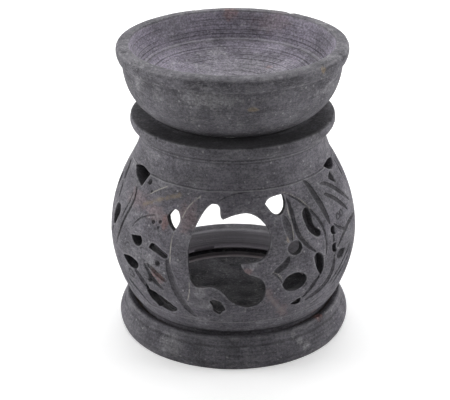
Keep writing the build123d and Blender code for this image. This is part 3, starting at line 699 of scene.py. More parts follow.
def block_near(line):
    """The rows and the columns of the grid that lie within reach of a line."""
    low, high = line.min(axis=0), line.max(axis=0)
    rows = np.flatnonzero((row_runs > low[1] - REACH) & (row_runs < high[1] + REACH))
    middle = (low[0] + high[0]) / 2
    half = (high[0] - low[0]) / 2 + REACH / row_radii[rows].min()
    columns = np.flatnonzero(np.abs((turns - middle + pi) % tau - pi) < half)
    return rows, columns


def nearest(across, up):
    """The shortest distance to the pieces of a line, and the share of the line where it is met."""
    x, y = across[..., :-1], up[..., :-1]
    dx, dy = np.diff(across, axis=-1), np.diff(up, axis=-1)
    square = np.maximum(dx**2 + dy**2, 1e-12)
    t = np.clip(-(x * dx + y * dy) / square, 0, 1)
    away = np.hypot(x + t * dx, y + t * dy)
    best = away.argmin(axis=-1)[..., None]
    share = (best + np.take_along_axis(t, best, -1)) / dx.shape[-1]
    return np.take_along_axis(away, best, -1)[..., 0], share[..., 0]


def inside(across, up):
    """Whether an outline goes round a point: a ray to the right crosses it an odd number of times."""
    x0, x1, y0, y1 = across[..., :-1], across[..., 1:], up[..., :-1], up[..., 1:]
    spans = (y0 > 0) != (y1 > 0)
    crossing = x0 - y0 * (x1 - x0) / np.where(spans, y1 - y0, 1)
    return (np.count_nonzero(spans & (crossing > 0), axis=-1) % 2).astype(bool)


def around(line):
    """The block of the grid near a line, the distance there, the share where it is met, and the inside."""
    rows, columns = block_near(line)
    across, up = offsets(line, rows, columns)
    away, share = nearest(across, up)
    return rows, columns, away, share, inside(across, up)


def take_in(field, rows, columns, values, pick=np.minimum):
    """Puts values into one block of a field wherever they are the smaller, or the larger, ones."""
    block = np.ix_(rows, columns)
    field[block] = pick(field[block], values)


def doorway_line():
    """The arched doorway, square to the back: x and height, turned into places on the skin."""
    half, sill, spring, rise = 24.0, 16.4, 35.4, 18.0
    arch = bent_curve((half, spring), (0, spring + rise), ((0.0, 0.6), (0.45, 1.0)))
    line = np.vstack([
        walk([(-half, sill), (half, sill)], LINE_STEP),
        walk([(half, sill), (half, spring)], LINE_STEP),
        arch,
        arch[::-1] * (-1, 1),
        walk([(-half, spring), (-half, sill)], LINE_STEP),
    ])
    turned = pi - np.arcsin(line[:, 0] / belly_radius(line[:, 1]))
    return np.column_stack([turned, np.interp(line[:, 1], belly[:, 1], belly_run)])


# %% [markdown]
# Each hole also has a way in. The saw went in at right angles to the hole's own middle and slanted
# down towards the chamber, so the inside of the hole is shifted sideways and lower. Near a hole that
# shift follows the hole, and elsewhere it follows the pot, so the two skins stay matched point for
# point. The low piercings on the left broke out roughly, so noise makes their outlines ragged.

# %% Fields of the holes
PIERCING_SLOPE = np.tan(radians(22))
MET_LOWER = 2
MOST_SINE = 0.97
ROUGH_BELOW = 0.3

shape = (len(row_runs), len(turns))
hole = np.full(shape, REACH)
pull = np.zeros(shape)
side_shift = np.zeros(shape)
doorway_pull = np.zeros(shape)
grid_points = swing(np.column_stack([row_radii, row_heights]), turns)
ragged = 0.45 * chance(grid_points, 1.3, 61) + 0.2 * chance(grid_points, 0.7, 62)


def add_hole(line, facing, upright=False, roughly=0.0):
    """Takes an outline into the fields: upright leaves the slope out, roughly makes the edge ragged."""
    rows, columns, away, _, within = around(line)
    block = np.ix_(rows, columns)
    away = np.where(within, -away, away) + roughly * ragged[block]
    take_in(hole, rows, columns, away)
    near = np.clip(1 - away / REACH, 0, 1) ** 2
    turn = (turns[columns] - facing + pi) % tau - pi
    outer = row_radii[rows][:, None] * np.sin(turn)
    inner = chamber_radius(row_heights[rows] - MET_LOWER)[:, None]
    side_shift[block] += near * (np.arcsin(np.clip(outer / inner, -MOST_SINE, MOST_SINE)) - turn)
    pull[block] += near
    if upright:
        doorway_pull[block] = near


add_hole(outline_of(WINDOW), 0.0)
for runs, facing in repeated(PIERCINGS):
    low = min(share for run in runs for _, share in run) < ROUGH_BELOW
    add_hole(outline_of(runs), radians(facing), roughly=float(low and facing < 0))
add_hole(doorway_line(), pi, upright=True)
side_shift /= np.maximum(pull, 1)
print("share of the band that is cut away:", round(float((hole < 0).mean()), 3))

# %% [markdown]
# The strokes are shallow. A gouge enters the stone, goes deepest and widest half way, and leaves
# again, so the width of a stroke is the square root of how far it is from both ends. Its bed is
# rounded. The distance to its edge is kept as well, because it is a smooth number even on a grid
# that is nearly as coarse as the stroke, and the material later draws the edge from it.

# %% Fields of the strokes
FAR = 2.0

cut = np.full(shape, FAR)
depth = np.zeros(shape)
pale = np.full(shape, FAR)
vein = np.full(shape, FAR)


def add_stroke(line, width, deep, pointed=True):
    """Takes one stroke in: the edge distance, and a rounded bed whose depth follows its width."""
    rows, columns, away, share, _ = around(line)
    half = width * np.sqrt(np.maximum(share * (1 - share), 1e-4)) if pointed else width / 2
    bed = deep * np.sqrt(np.minimum(1, 2 * half / width)) * (1 - eased(away / half, 0.25, 1.15))
    take_in(cut, rows, columns, away - half)
    take_in(depth, rows, columns, bed, np.maximum)


def add_pocket(line, deep, soft):
    """Takes in a pocket or a pit: an outline that stops at a depth, with sides that slope in."""
    rows, columns, away, _, within = around(line)
    away = np.where(within, -away, away)
    take_in(cut, rows, columns, away)
    take_in(depth, rows, columns, deep * eased(-away, -0.1, soft), np.maximum)


def round_of(place):
    """The circle of a pit or a ring mark: its middle in the pattern, and its radius."""
    circle = np.linspace(0, tau, 25)
    middle = on_skin([place[:2]])
    return middle + place[2] * np.column_stack([np.sin(circle) / BELLY_WIDE[0], np.cos(circle)])


GOUGES = (
    (SOFT_STROKES, 2.6, 0.4),
    (BROAD_STROKES, 2.3, 0.8),
    (STROKES, 1.6, 0.8),
    (FINE_STROKES, 1.0, 0.6),
    (HAIR_STROKES, 0.55, 0.25),
)
for table, width, deep in GOUGES:
    for [points], _ in repeated(table):
        add_stroke(skin_line(points), width, deep)
for place in RINGS:
    add_stroke(round_of(place), 0.6, 0.3, pointed=False)
for runs, _ in repeated(POCKETS):
    add_pocket(outline_of(runs), 1.5, 0.5)
for place in PITS:
    add_pocket(round_of(place), place[2], 0.6 * place[2])
for table, field in ((PALE_LINES, pale), (VEINS, vein)):
    for [points], _ in repeated(table):
        rows, columns, away, _, _ = around(skin_line(points))
        take_in(field, rows, columns, away)

# %% [markdown]
# ## Cutting the holes
# The squares of the grid that an outline crosses are cut by marching round them: every corner that
# is stone stays, and every side whose ends differ gets a new point where the distance is nil. There
# are only sixteen ways a square can be cut, so the loop is over the ways and not over the squares.
# The cut is made a little outside the true outline, by more where the edge has chipped, and the rest
# of the way down is the rounded lip. The inner skin is cut in the very same pattern, so that the
# walls of the holes are simple strips from one skin to the other.

# %% March round the squares
LEAST_LIP = 0.16
CHIPS = 0.5
NOT_AT_CORNER = 0.08

lip = LEAST_LIP + CHIPS * np.clip(wear(grid_points, 3.6, 21) - 0.42, 0, 1) ** 1.3
level = hole - lip
stone = level > 0
across_cut = stone != np.roll(stone, -1, axis=1)
up_cut = stone[:-1] != stone[1:]
numbers = np.arange(stone.size).reshape(shape)
across_number = np.full(shape, -1)
across_number[across_cut] = np.arange(across_cut.sum())
up_number = np.full(up_cut.shape, -1)
up_number[up_cut] = np.arange(up_cut.sum()) + across_cut.sum()
cut_ends = np.vstack([
    np.column_stack([numbers[across_cut], np.roll(numbers, -1, axis=1)[across_cut]]),
    np.column_stack([numbers[:-1][up_cut], numbers[1:][up_cut]]),
])
end_levels = level.ravel()[cut_ends]
cut_share = end_levels[:, 0] / (end_levels[:, 0] - end_levels[:, 1])
cut_share = np.clip(cut_share, NOT_AT_CORNER, 1 - NOT_AT_CORNER)[:, None]
print("points on the edges of the holes:", len(cut_ends))


def marched(first_cut):
    """Faces of the stone side of every square, cut points numbered from first_cut, and the cut sides."""
    corner = [numbers[:-1], np.roll(numbers, -1, 1)[:-1], np.roll(numbers, -1, 1)[1:], numbers[1:]]
    side = [across_number[:-1], np.roll(up_number, -1, 1), across_number[1:], up_number]
    kept = [stone.ravel()[table] for table in corner]
    case = sum(keep.astype(int) << k for k, keep in enumerate(kept))
    faces, edges = [], []
    for way in range(1, 16):
        here = case == way
        slots, crossings = [], []
        for k in range(4):
            if way >> k & 1:
                slots.append(corner[k][here])
            if (way >> k & 1) != (way >> (k + 1) % 4 & 1):
                slots.append(side[k][here] + first_cut)
                crossings.append((side[k][here], way >> k & 1))
        faces.append(np.column_stack(slots))
        for leave, enter in zip(crossings, crossings[1:] + crossings[:1]):
            if leave[1]:
                edges.append(np.column_stack([leave[0], enter[0]]))
    return [table for table in faces if len(table)], np.vstack(edges)


# %% [markdown]
# ## Walls and lips
# From a point on the cut edge the wall first curves over the lip, then goes straight to the inner
# skin. A file has been down these walls, so they waver a little.

# %% Place the two skins and the walls
def between(values):
    """A field of the grid at the cut points, shared out between the two ends of each cut side."""
    ends = values.reshape(stone.size, -1)[cut_ends]
    return ends[:, 0] + cut_share * (ends[:, 1] - ends[:, 0])


def on_inner_skin(turn, height, shift, slope):
    """Where the way in from a point of the belly meets the chamber, found by three corrections."""
    outer = belly_radius(height)
    inner_height = height
    for _ in range(3):
        inner_height = height - (outer - chamber_radius(inner_height)) * slope
    inner = chamber_radius(inner_height)
    turn = turn + shift
    return np.stack([inner * np.sin(turn), -inner * np.cos(turn), inner_height], axis=-1)


SCARS = (
    ((36.0, -18.0, 52.0), 1.6, 0.5),
    ((-20.0, -36.5, 40.0), 1.4, 0.3),
    ((8.0, -40.4, 27.0), 1.2, 0.3),
)
sink = depth + 0.16 * wear(grid_points, 11.0, seed=31) + 0.07 * wear(grid_points, 2.2, seed=33)
sink += knocks(grid_points, SCARS) + 0.12 * eased(-hole, -1.6, 0.2)
skin_normal = outward(np.column_stack([row_radii, row_heights]), turns)
outer_skin = grid_points - sink[..., None] * skin_normal

slope = PIERCING_SLOPE * (1 - np.clip(doorway_pull, 0, 1))
height_field = np.repeat(row_heights[:, None], len(turns), axis=1)
inner_skin = on_inner_skin(turns[None, :], height_field, side_shift, slope)

rise = np.gradient(hole, row_runs, axis=0)
sweep = np.gradient(hole, turns, axis=1) / row_radii[:, None]
steep = np.maximum(np.hypot(rise, sweep), 0.2)
rise, sweep = rise / steep, sweep / steep
up_skin = np.gradient(grid_points, row_runs, axis=0)
round_skin = np.stack([np.cos(turns), np.sin(turns), 0 * turns], axis=-1)[None]
into_hole = -(sweep[..., None] * round_skin + rise[..., None] * up_skin)

cut_lip = between(lip)[:, 0]
first_turn, second_turn = (turns[cut_ends[:, k] % len(turns)] for k in (0, 1))
apart = (second_turn - first_turn + pi) % tau - pi
cut_turn = first_turn + cut_share[:, 0] * apart
cut_height = between(height_field)[:, 0]
edge_turn = cut_turn - cut_lip * between(sweep)[:, 0] / belly_radius(cut_height)
edge_height = cut_height - cut_lip * between(rise)[:, 0] * between(up_skin)[:, 2]
inner_edge = on_inner_skin(edge_turn, edge_height, between(side_shift)[:, 0], between(slope)[:, 0])
cut_edge = between(outer_skin)
towards = between(into_hole)
hole_edge = cut_edge + cut_lip[:, None] * towards
way_in = inner_edge - hole_edge
wall_depth = np.linalg.norm(way_in, axis=1)
ways = way_in / wall_depth[:, None]
wall_rows = [
    (0.3, cut_edge + cut_lip[:, None] * (0.7 * towards + 0.3 * ways)),
    (1.0, hole_edge + cut_lip[:, None] * ways),
]
for share in (0.38, 0.7):
    waver = 0.16 * chance(hole_edge + share * 7, 1.9, 41)[:, None]
    wall_rows.append((share * wall_depth / cut_lip, hole_edge + share * way_in + waver * towards))
thinnest, thickest = round(float(wall_depth.min()), 1), round(float(wall_depth.max()), 1)
print("wall thickness from", thinnest, "to", thickest, "mm")

# %% [markdown]
# ## The whole pot
# Above the band the outside goes on over the neck, the small ridge and the collar, round the mouth
# and down the chamber. Below it come the spigot and the rebate. All of it is one closed loop of rows
# round the pot, and every point carries its numbers for the material: the distances to a hole, a
# stroke, a pale line, a vein, an edge and a crease, the depth of the stroke that it lies in, how far
# it lies along the loop, and whether it is in the chamber.

# %% Assemble the pot
RIDGE_FOOT = (NECK[0], 69.9)
RIDGE = (31.7, 70.55)
RIDGE_TOP = (31.375, 71.2)
COLLAR_FOOT = (32.5, 71.6)
COLLAR_SIDE = (33.9, 73.95)
COLLAR_EDGE = (33.7, 75.8)
COLLAR_OUTSIDE = (33.3, COLLAR_TOP)
BEAD_FOOT = (26.6, COLLAR_TOP)
BEAD_RISE = (25.9, 76.42)
BEAD_CROWN = (25.4, 76.575)
BEAD_FALL = (25.0, 76.2)
MOUTH_TOP = (MOUTH, 75.6)
REBATE = (32.0, CHAMBER_FOOT[1])
SPIGOT_TOP = (33.8, 11.2)
COLLAR_KNOCKS = (
    ((-24.5, -23.2, 75.9), 1.2, 0.4),
    ((31.5, -11.6, 75.6), 1.4, 0.35),
    ((10.0, 32.2, 75.8), 1.6, 0.4),
)
INSIDE_RUN = 300

outside_top = profile_of([
    np.vstack([[(belly_radius(BAND_TOP), BAND_TOP)], belly[belly[:, 1] > BAND_TOP]]),
    [NECK, RIDGE_FOOT],
    lath_curve([RIDGE_FOOT, RIDGE, RIDGE_TOP]),
    [RIDGE_TOP, COLLAR_FOOT],
    lath_curve([COLLAR_FOOT, COLLAR_SIDE, COLLAR_EDGE]),
    [COLLAR_EDGE, COLLAR_OUTSIDE],
    [COLLAR_OUTSIDE, BEAD_FOOT],
], ROW_STEP)[1:]
chamber_top = profile_of([
    lath_curve([BEAD_FOOT, BEAD_RISE, BEAD_CROWN, BEAD_FALL, MOUTH_TOP]),
    [MOUTH_TOP, MOUTH_FOOT],
    chamber[chamber[:, 1] > 63.4][::-1],
], ROW_STEP)
chamber_foot = profile_of([
    chamber[chamber[:, 1] < BELLY_FOOT[1]][::-1],
    [CHAMBER_FOOT, REBATE],
    [REBATE, (REBATE[0], SEAT)],
], ROW_STEP)
outside_foot = profile_of([
    [(REBATE[0], SEAT), (SPIGOT_TOP[0], SEAT)],
    [(SPIGOT_TOP[0], SEAT), SPIGOT_TOP],
    [SPIGOT_TOP, BELLY_FOOT],
    belly[belly[:, 1] < BAND_FOOT - 0.3],
], ROW_STEP)
batches = []


def keep(points, **fields):
    """Adds points to the pot, each with its numbers for the material, and returns how they are counted."""
    first = sum(len(flat) for flat, _ in batches)
    fields = {
        "cut": FAR, "deep": 0, "pale": FAR, "vein": FAR, "edge": REACH, "crease": REACH, **fields,
    }
    spread = {name: np.broadcast_to(value, points.shape[:-1]).ravel() for name, value in fields.items()}
    batches.append((points.reshape(-1, 3), spread))
    return np.arange(first, first + points[..., 0].size).reshape(points.shape[:-1])


def strip(leave, enter, inner_leave, inner_enter):
    """The squares of a wall between one row of cut points and the next."""
    return np.column_stack([enter, leave, inner_leave, inner_enter])


def keep_rings(profile, start, room, seed, edges, creases, worn=0.14):
    """Adds rings of the pot outside the band, worn along their own normals."""
    points = swing(profile, turns)
    taken = worn * wear(points, 8.0, seed) + knocks(points, COLLAR_KNOCKS)
    points -= taken[..., None] * outward(profile, turns)
    run = start + run_along(profile)[:, None]
    lines = {"edge": from_edges(profile, edges)[:, None], "crease": from_edges(profile, creases)[:, None]}
    return keep(points, hole=REACH, run=run, room=room, **lines)


drawn = {"cut": cut, "deep": depth, "pale": pale, "vein": vein}
outer = keep(outer_skin, hole=hole, run=row_runs[:, None], room=0, **drawn)
cut_run = between(np.repeat(row_runs[:, None], len(turns), axis=1))[:, 0]
at_cut = {name: between(values)[:, 0] for name, values in drawn.items()}
previous = keep(cut_edge, hole=cut_lip, run=cut_run, room=0, **at_cut)
band_faces, cut_sides = marched(stone.size)
leave, enter = cut_sides.T
faces = list(band_faces)
for steps, row in wall_rows:
    current = keep(row, hole=-steps * cut_lip, run=cut_run, room=0)
    faces.append(strip(previous[leave], previous[enter], current[leave], current[enter]))
    previous = current
inner = keep(inner_skin, hole=REACH, run=INSIDE_RUN - inner_skin[..., 2], room=1)
current = keep(inner_edge, hole=0, run=INSIDE_RUN - inner_edge[:, 2], room=1)
faces.append(strip(previous[leave], previous[enter], current[leave], current[enter]))
faces += [table[:, ::-1] + inner[0, 0] for table in band_faces]

top = keep_rings(
    outside_top, start=row_runs[-1], room=0, seed=51,
    edges=(RIDGE, COLLAR_EDGE), creases=(RIDGE_FOOT, RIDGE_TOP),
)
mouth = keep_rings(
    chamber_top, start=200, room=1, seed=53, edges=(BEAD_CROWN,), creases=(MOUTH_FOOT,), worn=0.0
)
under = keep_rings(chamber_foot, start=290, room=1, seed=55, edges=(CHAMBER_FOOT,), creases=(REBATE,))
foot = keep_rings(outside_foot, start=-10, room=0, seed=57, edges=(BELLY_FOOT,), creases=(SPIGOT_TOP,))
faces.append(ring_quads(np.vstack([outer[-1:], top, mouth, inner[-1:]])))
faces.append(ring_quads(np.vstack([inner[:1], under, foot, outer[:1]])))
fields = {name: np.concatenate([spread[name] for _, spread in batches]) for name in batches[0][1]}
pot = make_piece("pot_carved", np.vstack([flat for flat, _ in batches]), faces, fields)

# %% [markdown]
# ## Riding on the model
# Each dressed piece stands for one solid of the model and moves with that solid's body. The bowl
# rides on its own body, which lifts off, and everything else rides on the stand.

# %% Tie the pieces to the model
DRESSED = (
    (bowl, "bowl", "dish", "bowl_stone"),
    (pot, "pot", "stand", "pot_stone"),
    (base, "base", "stand", "base_stone"),
    (cement, "cement_ring", "stand", "cement"),
)
for piece, node, body, slot in DRESSED:
    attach(piece, body)
    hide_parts(node)

# %% [markdown]
# ## Floor, backdrop and light
# The photograph was cut out on white. The floor is pale and plain. What the camera sees of it, and of
# the world beyond, is lifted to white through the light path, so no extra light falls on the stone
# for that. The lift grows with the distance, because less of the lamps' light reaches the far floor.
# A wide soft lamp hangs overhead. The two strongest lamps stand low at the sides, because the flanks
# of the pot are brighter than its front, and weak ones in front and behind keep the shadows open.

# %% Floor and light
WHITE = (1, 1, 1, 1)
LAMPS = (
    ("overhead", (0.0, 0.25, 1.0), (0, 0, 0.05), 0.8, 8.0),
    ("front", (-0.05, -0.98, 0.37), (0, 0, 0.03), 0.3, 0.7),
    ("left", (-0.98, 0.05, 0.24), (0, 0, 0.05), 0.6, 8.6),
    ("right", (0.98, 0.05, 0.24), (0, 0, 0.05), 0.6, 7.1),
    ("back", (0.1, 1.0, 0.5), (0, 0, 0.05), 0.8, 3.0),
)


def put(tree, kind, wires=None, **settings):
    """Adds one node: settings are its own options, wires gives its inputs values or other outputs."""
    added = tree.nodes.new(kind)
    for name, value in settings.items():
        setattr(added, name, value)
    for name, value in (wires or {}).items():
        if isinstance(value, bpy.types.NodeSocket):
            tree.links.new(value, added.inputs[name])
        else:
            added.inputs[name].default_value = value
    return added


def seen_white(tree):
    """One where the camera, a mirror or a glass looks at this, and nil for the light that it sends on."""
    path = put(tree, "ShaderNodeLightPath").outputs
    seen = path["Is Camera Ray"]
    for ray in ("Is Glossy Ray", "Is Transmission Ray"):
        seen = put(tree, "ShaderNodeMath", {0: seen, 1: path[ray]}, operation="MAXIMUM").outputs[0]
    return seen


def new_material(name):
    """A material and its tree of nodes."""
    material = bpy.data.materials.new(name)
    material.use_nodes = True
    return material, material.node_tree


def plain_world(strength):
    """A white world: full white where it is seen, and a plain grey strength as a light."""
    world = bpy.data.worlds.new("studio")
    world.use_nodes = True
    tree = world.node_tree
    level = put(tree, "ShaderNodeMapRange", {"Value": seen_white(tree), "To Min": strength, "To Max": 1.0})
    tree.links.new(level.outputs[0], tree.nodes["Background"].inputs["Strength"])
    tree.nodes["Background"].inputs["Color"].default_value = WHITE
    scene.world = world


def pale_floor(half=3):
    """A large plain sheet: matt and pale, with its seen colour lifted so that only the shadow shows."""
    mesh = bpy.data.meshes.new("floor")
    corners = [(-half, -half, 0), (half, -half, 0), (half, half, 0), (-half, half, 0)]
    mesh.from_pydata(corners, [], [(0, 1, 2, 3)])
    floor = bpy.data.objects.new("floor", mesh)
    scene.collection.objects.link(floor)
    material, tree = new_material("pale_floor")
    tree.nodes.clear()
    matt = put(tree, "ShaderNodeBsdfDiffuse", {"Color": (0.8, 0.8, 0.8, 1)})
    middle = put(tree, "ShaderNodeTexCoord").outputs["Object"]
    away = put(tree, "ShaderNodeVectorMath", {0: middle}, operation="LENGTH").outputs["Value"]
    fall = {"Value": away, "From Min": 0.12, "From Max": 0.7, "To Min": 0.42, "To Max": 0.92}
    lift = put(tree, "ShaderNodeMapRange", fall).outputs["Result"]
    glow = put(tree, "ShaderNodeEmission", {"Color": WHITE, "Strength": lift})
    lifted = put(tree, "ShaderNodeAddShader", {0: matt.outputs[0], 1: glow.outputs[0]})
    mix = put(tree, "ShaderNodeMixShader", {0: seen_white(tree), 1: matt.outputs[0], 2: lifted.outputs[0]})
    put(tree, "ShaderNodeOutputMaterial", {"Surface": mix.outputs[0]})
    mesh.materials.append(material)


def soft_lamp(name, place, facing, size, power):
    """A square lamp at a place, turned to look at a point."""
    lamp = bpy.data.objects.new(name, bpy.data.lights.new(name, "AREA"))
    scene.collection.objects.link(lamp)
    lamp.data.size = size
    lamp.data.energy = power
    lamp.location = place
    way = lamp.location - Matrix.Translation(facing).to_translation()
    lamp.rotation_euler = way.to_track_quat("Z", "Y").to_euler()


plain_world(0.06)
pale_floor()
for lamp in LAMPS:
    soft_lamp(*lamp)

# %% [markdown]
# ## Effects
# The same few effects come back on every piece of this stone, each with its own values: the grain,
# the rings that the lathe leaves, scratches, pale dust, patches of rust and rose, and worn edges.
# Each is a node group that is built once. A group only puts out masks and heights. Colours are
# chosen and the shader stands in the material itself. Lengths inside are millimetres.

# %% Node helpers
def group(name, outputs, **inputs):
    """A new node group that takes a place and these inputs: returns its tree, the place and the inputs."""
    tree = bpy.data.node_groups.new(name, "ShaderNodeTree")
    for label, value in {"Place": (0.0, 0.0, 0.0), **inputs}.items():
        kind = "NodeSocketVector" if isinstance(value, tuple) else "NodeSocketFloat"
        tree.interface.new_socket(label, in_out="INPUT", socket_type=kind).default_value = value
    for label in outputs:
        tree.interface.new_socket(label, in_out="OUTPUT", socket_type="NodeSocketFloat")
    given = tree.nodes.new("NodeGroupInput").outputs
    return tree, given["Place"], given


def put_out(tree, **values):
    """Hands values to the outputs of a node group."""
    put(tree, "NodeGroupOutput", values)


def use(tree, name, **wires):
    """Places a node group with these inputs, and returns its outputs."""
    return put(tree, "ShaderNodeGroup", wires, node_tree=bpy.data.node_groups[name]).outputs


def calc(tree, operation, a, b=0.0, c=0.0):
    """One arithmetic step."""
    return put(tree, "ShaderNodeMath", {0: a, 1: b, 2: c}, operation=operation).outputs[0]


def times(tree, value, *others):
    """A value times one or more others."""
    for other in others:
        value = calc(tree, "MULTIPLY", value, other)
    return value


def gap(tree, a, b):
    """How far two values lie apart."""
    return calc(tree, "ABSOLUTE", calc(tree, "SUBTRACT", a, b))


def ramp(tree, value, low, high, start=0.0, end=1.0):
    """A smooth step: start at low and end at high, and held there beyond."""
    wires = {"Value": value, "From Min": low, "From Max": high, "To Min": start, "To Max": end}
    return put(tree, "ShaderNodeMapRange", wires, interpolation_type="SMOOTHSTEP").outputs["Result"]


def noise(tree, vector, scale, detail=2.0, rough=0.5):
    """Soft noise from 0 to 1, most of it near a half."""
    wires = {"Vector": vector, "Scale": scale, "Detail": detail, "Roughness": rough}
    return put(tree, "ShaderNodeTexNoise", wires).outputs["Fac"]


def ripple(tree, along, scale, rough):
    """Noise that depends on one number only."""
    wires = {"W": along, "Scale": scale, "Detail": 3.0, "Roughness": rough}
    return put(tree, "ShaderNodeTexNoise", wires, noise_dimensions="1D").outputs["Fac"]


def stretched(tree, vector, scale, turn=(0.0, 0.0, 0.0)):
    """The position turned and stretched, for streaks."""
    return put(tree, "ShaderNodeMapping", {"Vector": vector, "Rotation": turn, "Scale": scale}).outputs[0]


def vector_math(tree, operation, first, second=(0.0, 0.0, 0.0), output="Vector"):
    """One step with vectors."""
    return put(tree, "ShaderNodeVectorMath", {0: first, 1: second}, operation=operation).outputs[output]


def scaled(tree, vector, scale):
    """A vector, or a colour, times a number."""
    return put(tree, "ShaderNodeVectorMath", {0: vector, "Scale": scale}, operation="SCALE").outputs[0]


def part_of(tree, vector, axis):
    """One of the three parts of a vector."""
    return put(tree, "ShaderNodeSeparateXYZ", {0: vector}).outputs[axis]


# %% [markdown]
# ### Grain
# Soapstone is a felt of tiny flakes. Close by it is a fine salt-and-pepper, further off it is
# cloudy, and here and there one pale flake catches the light.

# %% Grain
def build_grain():
    """Fine noise, clouds, and flakes: the middles of some of the cells of a cellular pattern."""
    tree, place, given = group("stone_grain", ("Fine", "Streaks", "Clouds", "Flakes"), Flakes=0.5)
    cells = put(tree, "ShaderNodeTexVoronoi", {"Vector": place, "Scale": 0.85, "Randomness": 1.0}).outputs
    pick = put(tree, "ShaderNodeSeparateColor", {"Color": cells["Color"]}).outputs[0]
    size = ramp(tree, pick, 0.8, 1.0, -0.15, 0.36)
    torn = calc(tree, "MULTIPLY_ADD", noise(tree, place, 3.0, 1.0), 0.5, cells["Distance"])
    flake = ramp(tree, calc(tree, "SUBTRACT", torn, size), 0.3, 0.1)
    put_out(
        tree,
        Fine=noise(tree, place, 1.4, 4.0, 0.8),
        Streaks=noise(tree, stretched(tree, place, (0.4, 0.4, 1.1)), 1.0, 4.0, 0.7),
        Clouds=noise(tree, place, 0.11, 4.0, 0.62),
        Flakes=times(tree, flake, given["Flakes"]),
    )


build_grain()

# %% [markdown]
# ### Turning rings
# The lathe's chisel chatters and leaves rings, some deep and some faint. They depend on one number
# only, how far along the profile a point lies, so the noise has one dimension. A slow noise over the
# surface makes them fade and come back.

# %% Turning rings
def build_rings():
    """One-dimensional noise of the way along the profile, times a slow noise that lets it fade."""
    tree, place, given = group("turning_rings", ("Dark", "Height"), Run=0.0, Close=1.0, Depth=1.0)
    along = calc(tree, "ADD", given["Run"], times(tree, noise(tree, place, 0.07, 1.0), 0.5))
    rings = ripple(tree, along, given["Close"], 0.7)
    fade = ramp(tree, noise(tree, place, 0.09, 2.0), 0.36, 0.6, 0.25, 1.0)
    strength = times(tree, fade, given["Depth"])
    dark = times(tree, ramp(tree, rings, 0.5, 0.34), strength)
    put_out(tree, Dark=dark, Height=times(tree, calc(tree, "SUBTRACT", rings, 0.5), strength))


build_rings()

# %% [markdown]
# ### Scratches and dust
# Handling leaves short scratches in all directions and long ones along the turning, and the stone's
# own talc settles in pale smears.

# %% Scratches and dust
SCRATCH_TURNS = (((0.0, 0.0, 0.0), 5.0), ((0.4, 0.9, 0.3), 17.0), ((-0.5, -0.8, 1.0), 31.0))


def build_scratches():
    """Thin crests of noise stretched three ways, each let through only in places."""
    tree, place, given = group("scratches", ("Marks", "Dust"), Amount=1.0)
    marks = 0.0
    for turn, seed in SCRATCH_TURNS:
        crest = gap(tree, noise(tree, stretched(tree, place, (0.3, 0.3, 2.4), turn), 1.0, 1.0), 0.5)
        where = noise(tree, stretched(tree, place, (1.0, 1.0, 1.0), (seed, 0.0, 0.0)), 0.45, 2.0)
        mark = times(tree, ramp(tree, crest, 0.024, 0.0), ramp(tree, where, 0.5, 0.62))
        marks = calc(tree, "MAXIMUM", marks, mark)
    smear = noise(tree, stretched(tree, place, (0.7, 0.7, 1.6)), 0.13, 5.0, 0.68)
    dust = times(tree, ramp(tree, smear, 0.52, 0.74), given["Amount"])
    put_out(tree, Marks=times(tree, marks, given["Amount"]), Dust=dust)


build_scratches()

# %% [markdown]
# ### Patches
# Iron in the stone shows as rusty and rosy patches, and ground stone as pale ones. A patch is a
# ball round a place, with a noise that eats its edge away.

# %% Patches
def build_patch():
    """One inside a ball, nil outside, with noise added to the distance so that the edge is ragged."""
    inputs = {"Centre": (0.0, 0.0, 0.0), "Squash": (1.0, 1.0, 1.0), "Radius": 3.0}
    tree, place, given = group("stone_patch", ("Mask",), **inputs)
    away = vector_math(tree, "SUBTRACT", place, given["Centre"])
    away = vector_math(tree, "MULTIPLY", away, given["Squash"])
    away = vector_math(tree, "LENGTH", away, output="Value")
    ragged = calc(tree, "MULTIPLY_ADD", noise(tree, place, 0.5, 4.0, 0.7), 2.4, -1.2)
    share = calc(tree, "ADD", calc(tree, "DIVIDE", away, given["Radius"]), ragged)
    put_out(tree, Mask=ramp(tree, share, 1.15, 0.45))


build_patch()

# %% [markdown]
# ### Edge wear
# Edges are rubbed paler than the faces beside them, in a thin line that comes and goes. The group
# takes the distance to the edge, which every stone piece carries as an attribute.

# %% Edge wear
def build_edge_wear():
    """A band of a given width round distance nil, broken up by noise."""
    tree, place, given = group("edge_wear", ("Mask",), Distance=1.0, Width=0.3)
    near = ramp(tree, calc(tree, "ABSOLUTE", given["Distance"]), given["Width"], 0.0)
    put_out(tree, Mask=times(tree, near, ramp(tree, noise(tree, place, 0.6, 3.0), 0.38, 0.62)))


build_edge_wear()

# %% [markdown]
# ## The stone
# One recipe dresses the three stone pieces. The colour starts from a dark and a lighter grey, mixed
# by the clouds, with a breath of violet. Rings and grain darken it, dust, flakes and scratches
# lighten it, and patches tint it. Sharp edges are rubbed pale, and the creases beside them are
# darkened with painted shade.
# The pot adds its carving on top, from the distances that it carries. Everything that stands up or
# goes down is added into one height in millimetres.

# %% The recipe for soapstone
DARK_STONE = (0.046, 0.045, 0.050, 1.0)
PALE_STONE = (0.114, 0.111, 0.123, 1.0)
VIOLET = (0.228, 0.208, 0.256, 1.0)
FLAKE = (0.46, 0.45, 0.46, 1.0)
TALC = (0.38, 0.375, 0.39, 1.0)
WARM_TALC = (0.45, 0.43, 0.39, 1.0)
RUST = (0.22, 0.11, 0.10, 1.0)
ROSE = (0.29, 0.185, 0.18, 1.0)
DULL_ROSE = (0.34, 0.29, 0.29, 1.0)
OCHRE = (0.36, 0.27, 0.15, 1.0)


def tint(tree, color, above, *shares):
    """One colour laid over another by a share from 0 to 1, or by the product of several."""
    wires = {0: times(tree, *shares), 6: color, 7: above}
    return put(tree, "ShaderNodeMix", wires, data_type="RGBA").outputs[2]


